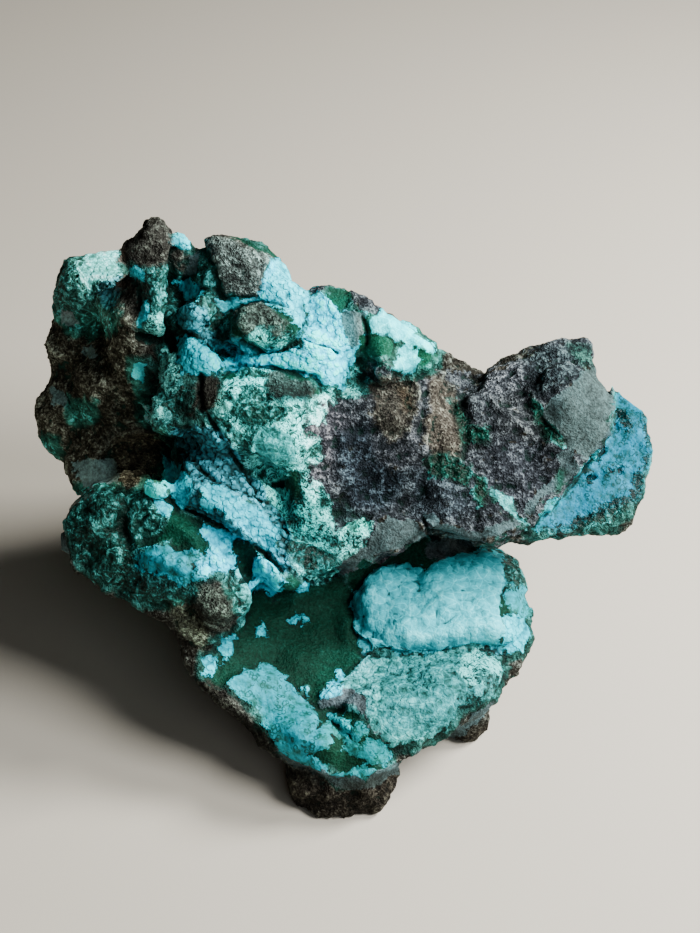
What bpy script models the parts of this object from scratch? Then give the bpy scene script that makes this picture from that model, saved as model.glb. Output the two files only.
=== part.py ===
"""A hand-sized chrysocolla and malachite specimen, grown as one piece of crusted copper ore.

It stands on a low ledge with three knobs of dark matrix under it and a broad root behind. A tall
mass leans over the ledge: a domed crest with a sharp ridge on its left, a broken slab that
overhangs on the right with a blue tongue under its tip, and two lobes that hang out to the left.

Everything is laid out in millimetres from the point on the floor below the ledge's front tip,
with X to the right, Y to the back and Z up. The finished solid is moved at the end, so that the
part's origin is the bottom centre of its box.
"""

import math

import bmesh
import bpy
import numpy as np
from mathutils import Matrix, Vector

MM = 0.001

# Driving dimensions, in millimetres
VOXEL = 1.3  # the grid that welds the forms into one rock
SWELL_HEIGHT, SWELL_SIZE = 1.6, 12.0  # broad swells of the surface
CRUST_HEIGHT, CRUST_SIZE = 0.9, 6.0  # rounded lumps of crust
FLOOR_CUT = 30.0  # thickness of the block that trims the feet flat
TRIANGLES = 9600  # what the faceted solid is thinned to

# Rounded masses on the leaning front: centre across, up the lean and out from it, half sizes the
# same way, roll in degrees, squareness (2 is an ellipsoid, more is blockier)
LEAN = 40  # degrees that the front leans back from upright
FRONT_MASSES = {
    # the peak and what runs down from it
    "peak": ((-39, 115, -4), (6.5, 6.5, 7), 42, 3.5),
    "peak_stem": ((-38, 105, -5), (3.5, 7, 6), 5, 2.6),
    "side_rib": ((-47, 104, -18), (5, 7, 8), 10, 2.8),
    "side_rib_foot": ((-46, 98, -20), (4, 6, 6), 0, 2.6),
    "tail": ((-35, 90, -4), (3.6, 9.5, 6), -8, 2.6),
    "tail_tip": ((-36, 83, -2), (4.5, 4, 5), 0, 2.6),
    # the crest, and the column of knobs to its left
    "column_top": ((-33, 114, -7), (3, 5, 5), 0, 2.3),
    "column": ((-30, 100, -7), (4, 12, 6), 0, 2.4),
    "column_knob": ((-30, 103, -1), (3.2, 3.4, 4), 0, 2.2),
    "column_foot": ((-29, 94, 0), (4, 4.5, 5), 20, 2.3),
    "cap": ((-23, 112, -6), (7.5, 6.5, 8), -20, 3.4),
    "cap_shoulder": ((-15, 106, -5), (6, 5, 7), -35, 3),
    "cap_left": ((-27, 111, -4), (3, 5, 5), 0, 2.3),
    "cap_foot": ((-21, 102, -6), (8, 5, 6), 0, 2.6),
    "lip": ((-17, 100, 2), (8, 4.2, 6), 3, 2.8),
    # the band and the boulder below the crest
    "band_left": ((-12, 95, -5), (12, 8, 8), -15, 2.6),
    "band_right": ((2, 100, -8), (13, 6.5, 8), -28, 2.8),
    "band_far": ((11, 96, -9), (7, 5, 7), -20, 2.6),
    "green_knob": ((7, 93, -2), (3, 3, 4), 0, 2.2),
    "boulder": ((-17, 83, -2), (12.5, 9.5, 10), -10, 2.8),
    "boulder_left": ((-27, 84, -1), (6, 6, 7), 0, 2.5),
    "apron": ((-23, 65, -5), (7, 14, 8), 42, 2.6),
    "apron_foot": ((-13, 53, -4), (5, 6, 6), 30, 2.5),
    # the broken slab on the right
    "slab_root": ((6, 74, -11), (16, 14, 9), 0, 3),
    "slab_panel": ((43, 83, -11), (6.5, 10, 6), -20, 3.2),
    "slab_knob": ((19, 95, -20), (3, 3, 4), 0, 2.2),
    # the lobe that hangs out in front, on the left
    "lobe": ((-43, 58, -7), (11, 8, 9), -20, 2.8),
    "lobe_horn": ((-38, 67, -2), (3, 3.5, 5), 0, 2.3),
    "lobe_end": ((-53, 61, -11), (4.5, 6, 7), 0, 2.4),
    "lobe_knuckle": ((-26, 46, 2), (4.5, 4, 5), 0, 2.4),
    "lobe_heel": ((-30, 42, -4), (4.5, 5, 6), 0, 2.5),
}

# Rounded masses behind and below it: centre, half sizes, turn about Z in degrees, squareness
BODY_MASSES = {
    # the lobe that hangs out behind, on the left
    "back_lobe_top": ((-53, 94, 64), (11, 9, 10), 0, 3.0),
    "back_lobe_step": ((-57, 88, 53), (10, 9, 9), 0, 2.6),
    "back_lobe_tip": ((-59, 81, 41), (10, 9, 10), 0, 2.5),
    "back_lobe_root": ((-46, 80, 50), (14, 14, 14), 0, 2.4),
    "side_web": ((-50, 73, 36), (12, 12, 10), 0, 2.4),
    "side_wall": ((-42, 76, 66), (8, 12, 14), 0, 2.6),
    # the body behind and below, down to the floor
    "crest_back": ((-24, 86, 66), (12, 10, 16), 0, 2.6),
    "back_wall": ((-14, 83, 49), (26, 13, 18), 0, 2.8),
    "core": ((-8, 70, 38), (30, 20, 24), 0, 2.8),
    "slab_prop": ((14, 70, 40), (23, 12, 20), 0, 2.6),
    "lobe_root": ((-28, 48, 36), (13, 12, 12), 0, 2.4),
    "root": ((-4, 66, 14), (28, 16, 18), 0, 3.2),
    "root_back": ((2, 80, 10), (20, 11, 15), 10, 2.8),
    "root_left": ((-24, 58, 12), (10, 12, 15), 0, 2.6),
    "knob_below_peak": ((-26, 94, 54), (8, 6, 7), 20, 2.8),
    "knob_below_crest": ((-6, 95, 57), (9, 5, 6), -15, 3.0),
    "knob_behind_band": ((10, 89, 50), (9, 7, 8), 10, 2.8),
    "knob_left_of_middle": ((-16, 94, 38), (11, 6, 7), 0, 2.8),
    "knob_right_of_middle": ((7, 92, 33), (9, 6, 6), 15, 2.6),
    "knob_behind_slab": ((24, 80, 46), (8, 7, 8), -20, 2.8),
    "knob_on_root": ((-30, 78, 20), (7, 8, 7), 0, 2.6),
    "knob_under_slab": ((32, 66, 32), (6, 8, 6), 0, 2.4),
    # the matrix knobs under the ledge
    "front_foot": ((-2, 11, 3), (11, 7, 6), 6, 3.0),
    "front_ridge": ((-5, 19, 8), (14, 6, 6), -30, 2.6),
    "ledge_belly": ((0, 34, 12), (24, 17, 6), 0, 2.4),
    "left_matrix": ((-17, 28, 11), (9, 7, 7), -40, 2.8),
    "left_foot": ((-20, 37, 6), (8, 8, 8), 30, 2.6),
    "right_foot": ((23, 29, 5), (6, 6, 7), 20, 2.6),
    "right_heel": ((20, 35, 9), (9, 8, 7), 0, 2.6),
    # what swells on the ledge
    "right_swelling": ((14, 20, 15), (18, 8, 6), 28, 2.6),
    "left_pad": ((-12, 15, 13), (13, 5, 5), -35, 2.6),
    "back_crust": ((19, 47, 18), (18, 14, 7), 0, 3.2),
}

# Broken plates: a rim of points, the middle of the face, and the way and distance that the
# plate is thick
LEDGE = {
    "rim": [
        (-34, 23, 26), (-30, 17, 22), (-22, 13, 19), (-15, 8, 15), (-6, 4, 12), (1, 3, 11),
        (8, 5, 12), (15, 10, 14), (22, 14, 15), (29, 21, 16), (35, 28, 16), (39, 37, 17),
        (38, 47, 19), (36, 58, 21), (26, 66, 22), (-20, 62, 25), (-34, 44, 27),
    ],
    "middle": (-4, 36, 20),
    "thick": (0, 8, -7),
}
SLAB = {
    "rim": [
        (-8, 33, 40), (3, 34, 41), (11, 37, 44), (17, 39, 46), (24, 38, 43), (31, 38, 43),
        (37, 42, 44), (43, 47, 48), (50, 53, 54), (54, 62, 60), (52, 70, 62), (50, 78, 65),
        (39, 77, 64), (33, 76, 62), (27, 70, 57), (22, 70, 60), (14, 67, 66), (-6, 64, 70),
        (-14, 48, 58),
    ],
    "middle": (18, 54, 58),
    "thick": (-1, 8, -9),
}
TONGUE = {
    "rim": [
        (30, 42, 41), (38, 43, 41), (48, 44, 40), (57, 46, 41), (62, 52, 44), (64, 61, 48),
        (63, 69, 52), (57, 75, 54), (44, 76, 52), (30, 60, 46),
    ],
    "middle": (49, 58, 47),
    "thick": (-1, 3, -5),
}
LOBE = {
    "rim": [
        (-59, 43, 44), (-58, 38, 39), (-53, 33, 35), (-46, 30, 33), (-39, 27, 31), (-34, 25, 28),
        (-31, 23, 26), (-24, 24, 31), (-21, 27, 38), (-16, 32, 42), (-22, 40, 50), (-30, 44, 54),
        (-37, 44, 53), (-42, 46, 51), (-48, 47, 50), (-54, 46, 48),
    ],
    "middle": (-37, 33, 46),
    "thick": (2, 12, -5),
}
PLATES = [LEDGE, SLAB, TONGUE, LOBE]

# Folds worked into the skin. Each has its points across and up one side of the rock, how far it
# reaches to each side, and its height, which is negative for a groove.
FRONT_FOLDS = {
    "crevice": ([(-33, 119), (-34, 112), (-35, 106), (-35, 98)], 2.5, -4),
    "under_peak": ([(-42, 100), (-38, 98), (-36, 99)], 3, -2),
    "column_recess": ([(-28, 101), (-26, 97), (-24, 95)], 2.5, -3),
    "under_lip": ([(-24, 96), (-18, 95), (-13, 97), (-9, 100)], 2.5, -2),
    "over_boulder": ([(-29, 90), (-22, 91), (-14, 91), (-6, 87)], 3, -1.5),
    "boulder_lip": ([(-33, 80), (-28, 78), (-23, 76)], 3, 1.5),
    "under_boulder": ([(-34, 78), (-29, 74), (-23, 72), (-17, 68), (-14, 62)], 3, -1.5),
    "apron_ridge": ([(-37, 74), (-32, 70), (-26, 65), (-22, 59), (-17, 53), (-11, 48)], 3, 2),
    "apron_groove": ([(-40, 68), (-34, 65), (-29, 61), (-23, 57), (-20, 51), (-15, 45)], 3, -3),
    "side_hollow": ([(-48, 75), (-41, 76)], 6, -4),
    "slab_hollow": ([(-1, 65), (7, 67), (14, 66)], 6, -2),
    "slab_spine": ([(17, 91), (19, 84), (20, 78)], 3, 1.5),
    "panel_groove": ([(34, 72), (39, 80), (42, 90)], 3, -1.5),
    "ledge_hollow": ([(-15, 34), (-10, 38), (-3, 38)], 9, -2.5),
    "ledge_step": ([(0, 47), (2, 37), (6, 35), (14, 35), (31, 37)], 3, -2),
    "ledge_left_rim": ([(-28, 29), (-22, 31), (-17, 29), (-12, 22), (-4, 18), (4, 14)], 4, 1.5),
    "lobe_brim": ([(-55, 66), (-50, 68), (-45, 66), (-40, 68)], 3, 1.5),
    "lobe_groove": ([(-50, 57), (-44, 60), (-36, 58), (-28, 54)], 4, -2),
}
BACK_FOLDS = {
    "back_crevice": ([(-34, 92), (-35, 80), (-38, 66), (-36, 52), (-40, 40)], 5, -5),
    "back_ledge": ([(-30, 34), (-14, 30), (4, 33), (22, 31)], 5, 3),
    "back_undercut": ([(-32, 25), (-14, 21), (6, 24), (24, 22)], 5, -4),
    "back_brow": ([(-22, 70), (-10, 66), (4, 64), (16, 58)], 5, 3),
    "back_hollow": ([(-16, 54), (-4, 50), (8, 48)], 7, -4),
    "back_rib": ([(24, 60), (20, 48), (26, 36)], 4, 3),
}


def lean_axes():
    """Turns lean coordinates (across, up the lean, out from it) into the rock's own axes."""
    return Matrix.Rotation(math.radians(90 - LEAN), 3, "X")


def superellipsoid(bm, centre, half_sizes, rotation, squareness):
    """Adds a closed rounded block to bm: an icosphere pushed out towards its box's corners."""
    made = bmesh.ops.create_icosphere(bm, subdivisions=4, radius=1.0)["verts"]
    for vertex in made:
        span = sum(abs(c) ** squareness for c in vertex.co) ** (1 / squareness)
        stretched = Vector(c * half / span for c, half in zip(vertex.co, half_sizes))
        vertex.co = rotation @ stretched + Vector(centre)


def plate(bm, rim, middle, thick):
    """Adds a closed plate to bm: a fan from its middle to its rim, repeated a thickness away."""
    offset = Vector(thick)
    top = [bm.verts.new(point) for point in rim]
    bottom = [bm.verts.new(Vector(point) + offset) for point in rim]
    top_middle = bm.verts.new(middle)
    bottom_middle = bm.verts.new(Vector(middle) + offset)
    for i, j in zip(range(len(rim)), [*range(1, len(rim)), 0]):
        bm.faces.new((top[i], top[j], top_middle))
        bm.faces.new((bottom[j], bottom[i], bottom_middle))
        bm.faces.new((top[j], top[i], bottom[i], bottom[j]))


def rough_forms():
    """All the masses and plates as overlapping closed shells in one mesh object."""
    bm = bmesh.new()
    lean = lean_axes()
    for centre, half_sizes, roll, squareness in FRONT_MASSES.values():
        rotation = lean @ Matrix.Rotation(math.radians(roll), 3, "Z")
        superellipsoid(bm, lean @ Vector(centre), half_sizes, rotation, squareness)
    for centre, half_sizes, turn, squareness in BODY_MASSES.values():
        rotation = Matrix.Rotation(math.radians(turn), 3, "Z")
        superellipsoid(bm, centre, half_sizes, rotation, squareness)
    for shape in PLATES:
        plate(bm, **shape)
    bmesh.ops.recalc_face_normals(bm, faces=bm.faces)
    bm.transform(Matrix.Scale(MM, 4))
    mesh = bpy.data.meshes.new("specimen")
    bm.to_mesh(mesh)
    bm.free()
    specimen = bpy.data.objects.new("specimen", mesh)
    bpy.context.scene.collection.objects.link(specimen)
    return specimen


def apply_modifiers(specimen):
    graph = bpy.context.evaluated_depsgraph_get()
    finished = bpy.data.meshes.new_from_object(specimen.evaluated_get(graph))
    specimen.modifiers.clear()
    specimen.data = finished


def distance_to_path(points, path):
    """How far each 2-D point lies from the nearest stretch of the path."""
    nearest = np.full(len(points), np.inf)
    for start, end in zip(path, path[1:]):
        start, along = np.array(start), np.subtract(end, start)
        share = np.clip((points - start) @ along / (along @ along), 0, 1)
        nearest = np.minimum(nearest, np.linalg.norm(points - start - share[:, None] * along, axis=1))
    return nearest


def fold_skin(mesh, folds, side):
    """Raises ridges and sinks grooves on one side, whose columns are its across, up and out."""
    places = np.empty(len(mesh.vertices) * 3)
    normals = np.empty(len(mesh.vertices) * 3)
    mesh.vertices.foreach_get("co", places)
    mesh.vertices.foreach_get("normal", normals)
    places, normals = places.reshape(-1, 3), normals.reshape(-1, 3)
    across, up, out = np.array(side).T
    facing = np.clip((normals @ out - 0.1) / 0.4, 0, 1)
    flat = np.stack([places @ across, places @ up], axis=1) / MM
    raised = np.zeros(len(places))
    for path, reach, height in folds.values():
        share = np.clip(1 - (distance_to_path(flat, path) / reach) ** 2, 0, 1)
        raised += height * share**2
    places += out * (raised * facing * MM)[:, None]
    mesh.vertices.foreach_set("co", places.ravel())
    mesh.update()


def weld(specimen):
    """Joins the shells into one skin, softens its creases and works the folds into it."""
    remesh = specimen.modifiers.new("Weld into one rock", "REMESH")
    remesh.mode = "VOXEL"
    remesh.voxel_size = VOXEL * MM
    smooth = specimen.modifiers.new("Soften creases", "SMOOTH")
    smooth.factor = 0.5
    smooth.iterations = 2
    apply_modifiers(specimen)
    fold_skin(specimen.data, FRONT_FOLDS, lean_axes())
    fold_skin(specimen.data, BACK_FOLDS, Matrix(((1, 0, 0), (0, 0, 1), (0, 1, 0))))


def swell(specimen, name, texture_type, height, size, still=0.5):
    """Raises the surface by a texture whose features are size across, about its still value."""
    texture = bpy.data.textures.new(name, texture_type)
    texture.noise_scale = size * MM
    displace = specimen.modifiers.new(name, "DISPLACE")
    displace.texture = texture
    displace.texture_coords = "GLOBAL"
    displace.strength = height * MM
    displace.mid_level = still


def thin(specimen, triangles):
    """Thins the skin to about this many triangles."""
    graph = bpy.context.evaluated_depsgraph_get()
    full = specimen.evaluated_get(graph).data
    full.calc_loop_triangles()
    decimate = specimen.modifiers.new("Thin to facets", "DECIMATE")
    decimate.ratio = triangles / len(full.loop_triangles)


def floor_block():
    """The block below the floor that trims the feet and the root flat."""
    bm = bmesh.new()
    bmesh.ops.create_cube(bm, size=1.0)
    mesh = bpy.data.meshes.new("floor_block")
    bm.to_mesh(mesh)
    bm.free()
    block = bpy.data.objects.new("floor_block", mesh)
    block.scale = (0.3, 0.3, FLOOR_CUT * MM)
    block.location = (0, 0.05, -FLOOR_CUT / 2 * MM)
    block.hide_render = True
    block.display_type = "WIRE"
    bpy.context.scene.collection.objects.link(block)
    return block


def trim_feet(specimen):
    cut = specimen.modifiers.new("Trim feet flat", "BOOLEAN")
    cut.operation = "DIFFERENCE"
    cut.object = floor_block()


def settle(specimen):
    """Applies the modifiers and moves the solid's bottom centre to the origin."""
    apply_modifiers(specimen)
    finished = specimen.data
    corners = [Vector(corner) for corner in specimen.bound_box]
    low = Vector(map(min, *corners))
    high = Vector(map(max, *corners))
    middle = (low + high) / 2
    finished.transform(Matrix.Translation((-middle.x, -middle.y, -low.z)))
    finished.shade_smooth()
    finished.set_sharp_from_angle(angle=math.radians(40))


def blue_green_crust():
    material = bpy.data.materials.new("chrysocolla_crust")
    material.use_nodes = True
    shader = material.node_tree.nodes["Principled BSDF"]
    shader.inputs["Base Color"].default_value = (0.12, 0.36, 0.38, 1)
    shader.inputs["Roughness"].default_value = 0.6
    shader.inputs["Metallic"].default_value = 0.0
    return material


def main():
    for obj in list(bpy.data.objects):
        bpy.data.objects.remove(obj)
    specimen = rough_forms()
    weld(specimen)
    swell(specimen, "Broad swells", "CLOUDS", SWELL_HEIGHT * 2, SWELL_SIZE)
    swell(specimen, "Crust lumps", "VORONOI", -CRUST_HEIGHT * 2, CRUST_SIZE, still=0.2)
    thin(specimen, TRIANGLES)
    trim_feet(specimen)
    settle(specimen)
    specimen.data.materials.append(blue_green_crust())


main()
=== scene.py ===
"""Looks of the chrysocolla specimen: crusts, matrix grain and light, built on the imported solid.

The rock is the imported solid's own skin, remeshed finely. Minerals are laid on it first, each as a
distance in millimetres inside (or outside) its patches, and the relief then follows the minerals.
What the photograph shows is placed through its camera, by pixels of the 700 x 933 frame, and only
on the skin that this camera sees. The rest of the skin gets the same minerals from noise.
"""

import math

import bmesh
import bpy
import numpy as np
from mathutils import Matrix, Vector
from mathutils.bvhtree import BVHTree
from mathutils.kdtree import KDTree

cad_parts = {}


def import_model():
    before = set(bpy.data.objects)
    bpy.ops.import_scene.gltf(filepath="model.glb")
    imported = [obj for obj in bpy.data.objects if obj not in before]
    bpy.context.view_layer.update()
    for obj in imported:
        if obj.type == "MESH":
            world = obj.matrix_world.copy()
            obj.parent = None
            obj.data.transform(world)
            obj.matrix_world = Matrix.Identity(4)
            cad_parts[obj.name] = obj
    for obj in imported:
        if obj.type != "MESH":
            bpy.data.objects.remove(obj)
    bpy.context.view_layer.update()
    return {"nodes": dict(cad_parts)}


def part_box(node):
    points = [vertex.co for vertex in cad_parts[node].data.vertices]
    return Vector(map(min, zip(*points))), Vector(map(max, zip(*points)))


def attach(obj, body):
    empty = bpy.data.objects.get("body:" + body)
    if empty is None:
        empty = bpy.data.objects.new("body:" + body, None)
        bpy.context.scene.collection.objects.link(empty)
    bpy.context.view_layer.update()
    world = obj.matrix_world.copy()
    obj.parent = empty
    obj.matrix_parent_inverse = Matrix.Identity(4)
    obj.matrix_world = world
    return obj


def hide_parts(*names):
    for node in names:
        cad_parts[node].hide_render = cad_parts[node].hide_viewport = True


MM = 0.001
TINY = 1e-9

# The photograph's camera, in millimetres from the floor point below the ledge's front tip
TIP = np.array((3.07, -53.27, 0.0))  # that point in the part's frame
LEAN = math.radians(40)  # how far the camera looks down
AIM_UP, AIM_FLOOR = 67.8, 6.4  # what it looks at: height along the lean, and its zero level
DISTANCE = 330.0
LENS, SENSOR = 65.0, 36.0
NEAREST = 0.01  # m, where its view starts
WIDTH, HEIGHT = 700, 933
FOCAL = LENS / SENSOR * HEIGHT  # pixels
PX = FOCAL / DISTANCE  # pixels in a millimetre where it looks

SKIN = 0.45  # fine grid of the skin, mm
SOFTENING = 6  # rounds of smoothing on that grid
TRIANGLES = 196000
HIDDEN_KEPT = 0.3  # share of the hidden side's triangles kept before the skin is thinned as a whole
FAR = 4.0  # mm: distances to a mineral's edge are kept within this
SPARE = 0.015  # how far past each side of the solid's box the skin may stand, as a share of it

FACING = 0.02  # the skin is seen where the cosine of its tilt from the camera is more than this
SIGHT_AHEAD, SIGHT_OFF = 1.0, 0.5  # mm towards the camera and off the skin: where sight is tested
CARRIED = (1.5, 5.0)  # mm past the edge of sight where the shown minerals start and end their fade
CARRIED_WAVES = (3, 81)  # size in mm and seed of the noise that makes this fade wander by 1 mm

# How a vertex moves to its smoothed place: the share of the way, of no more than so many mm
ROUNDING = 26  # rounds of smoothing that give that place
FILL_SHARE, FILL_MOST = 0.85, 3.0  # out of a hollow
WEAR_SHARE, WEAR_MOST = 0.45, 1.0  # off an edge
NEAR_ROUNDS, WIDE_ROUNDS = 10, 50  # rounds of smoothing that relief near and wide is measured from

MINERALS = (
    "grey", "malachite", "teal", "mottle", "sky", "ringed", "cream", "pale", "ropy", "ash", "brown",
)
GREENS = MINERALS[1:9]  # those that stain the bare rock beside them green
GREEN_REACH = (-3.0, -0.2)  # mm inside the nearest of them where the stain starts and is full

# How outlines drawn in pixels wander: waves of noise, each its size in mm, reach in pixels, seed
PATCH_WAVES = ((4.5, 4.0, 17), (1.9, 2.6, 11), (0.95, 1.4, 13))
FEATURE_WAVES = ((2.4, 2.0, 15),)
TONE_WAVES = ((3.5, 3.0, 19),)


# ---------------------------------------------------------------- noise

STRIDES = (374761393, 668265263, 2147483647, 974634777)  # in X, Y, Z and seed
HASH_ROUNDS = ((13, 1274126177), (16, 2246822519))  # bits to shift, factor
LAST_SHIFT = 15
WORD, FRACTION = 0xFFFFFFFF, 0xFFFFFF  # the hash is kept to 32 bits, and 24 of them are used
DOME_SPREAD = 0.75  # the square of how far out a rounded grain ends, in units of its size
GAP_WIDTH = 0.25  # how far from a gap grains are at full height, in units of their size


def lattice(i, j, k, seed):
    """A random number from 0 to 1 at each whole-number place, hashed from the place."""
    h = (i * STRIDES[0] + j * STRIDES[1] + k * STRIDES[2] + seed * STRIDES[3]) & WORD
    for shift, factor in HASH_ROUNDS:
        h = ((h ^ (h >> shift)) * factor) & WORD
    return ((h ^ (h >> LAST_SHIFT)) & FRACTION) / FRACTION


def smooth_noise(p, size, seed):
    """Soft noise from -1 to 1 whose features are about size across."""
    q = p / size
    base = np.floor(q)
    f = q - base
    f = f * f * (3 - 2 * f)
    i, j, k = base.astype(np.int64).T
    total = np.zeros(len(p))
    for a in (0, 1):
        wa = f[:, 0] if a else 1 - f[:, 0]
        for b in (0, 1):
            wb = f[:, 1] if b else 1 - f[:, 1]
            for c in (0, 1):
                wc = f[:, 2] if c else 1 - f[:, 2]
                total += wa * wb * wc * lattice(i + a, j + b, k + c, seed)
    return total * 2 - 1


def fractal(p, size, octaves, seed):
    """Soft noise with finer and weaker noise on it."""
    total = np.zeros(len(p))
    for n in range(octaves):
        total += smooth_noise(p, size / 2**n, seed + n) / 2**n
    return total


def cells(p, size, seed):
    """How far each point is from the two nearest of some scattered seeds, in units of size."""
    q = p / size
    base = np.floor(q).astype(np.int64)
    first = np.full(len(p), np.inf)
    second = np.full(len(p), np.inf)
    for a in (-1, 0, 1):
        for b in (-1, 0, 1):
            for c in (-1, 0, 1):
                i, j, k = (base + (a, b, c)).T
                dx = i + lattice(i, j, k, seed) - q[:, 0]
                dy = j + lattice(i, j, k, seed + 1) - q[:, 1]
                dz = k + lattice(i, j, k, seed + 2) - q[:, 2]
                d = np.sqrt(dx * dx + dy * dy + dz * dz)
                second = np.minimum(second, np.maximum(first, d))
                first = np.minimum(first, d)
    return first, second


def domes(p, size, seed):
    """Rounded grains of about this size, from 0 in the gaps to 1 on top."""
    first, second = cells(p, size, seed)
    dome = np.clip(1 - first**2 / DOME_SPREAD, 0, 1)
    return dome * np.clip((second - first) / GAP_WIDTH, 0, 1) ** 0.5


def crags(p, size, octaves, seed):
    """Sharp ridges with rounded hollows between them, from 0 to about 1."""
    total = np.zeros(len(p))
    for n in range(octaves):
        total += (1 - np.abs(smooth_noise(p, size / 2**n, seed + n)) * 2) / 2**n
    return total / 2 + 0.25


def ramp(x, low, high):
    """From 0 where x is low to 1 where it is high, eased at both ends."""
    t = np.clip((x - low) / (high - low), 0, 1)
    return t * t * (3 - 2 * t)


# ---------------------------------------------------------------- the photograph's camera


def to_pixels(places):
    """Pixels across and down of places in mm."""
    x, y, z = (places - TIP).T
    up = y * math.sin(LEAN) + (z - AIM_FLOOR) * math.cos(LEAN)
    deep = y * math.cos(LEAN) - (z - AIM_FLOOR) * math.sin(LEAN)
    scale = PX * DISTANCE / (DISTANCE + deep)
    return WIDTH / 2 + x * scale, HEIGHT / 2 - (up - AIM_UP) * scale


def wandering_pixels(places, waves):
    """The places' pixels, shifted by noise, so that outlines laid on them wander."""
    px, py = to_pixels(places)
    for size, reach, seed in waves:
        px += reach * smooth_noise(places, size, seed)
        py += reach * smooth_noise(places, size, seed + 1)
    return px, py


def camera_place():
    """The camera's place in the part's frame, mm."""
    y = AIM_UP * math.sin(LEAN) - DISTANCE * math.cos(LEAN)
    z = AIM_FLOOR + AIM_UP * math.cos(LEAN) + DISTANCE * math.sin(LEAN)
    return TIP + np.array((0, y, z))


def side_distance(px, py, start, end):
    """How far each pixel is from the straight line between two."""
    (ax, ay), (bx, by) = start, end
    ex, ey = bx - ax, by - ay
    t = np.clip(((px - ax) * ex + (py - ay) * ey) / (ex * ex + ey * ey + TINY), 0, 1)
    return np.hypot(px - ax - t * ex, py - ay - t * ey)


def inside_distance(px, py, corners):
    """How far each pixel is inside the polygon, in pixels; outside is negative."""
    corners = np.array(corners, float)
    nearest = np.full(len(px), np.inf)
    inside = np.zeros(len(px), bool)
    for start, end in zip(corners, np.roll(corners, -1, axis=0)):
        nearest = np.minimum(nearest, side_distance(px, py, start, end))
        (ax, ay), (bx, by) = start, end
        crosses = (ay > py) != (by > py)
        at = ax + (py - ay) / (by - ay if by != ay else TINY) * (bx - ax)
        inside ^= crosses & (px < at)
    return np.where(inside, nearest, -nearest)


def path_distance(px, py, path):
    """How far each pixel is from the path, in pixels."""
    return np.min([side_distance(px, py, *ends) for ends in zip(path, path[1:])], axis=0)


# ---------------------------------------------------------------- what the photograph shows

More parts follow.
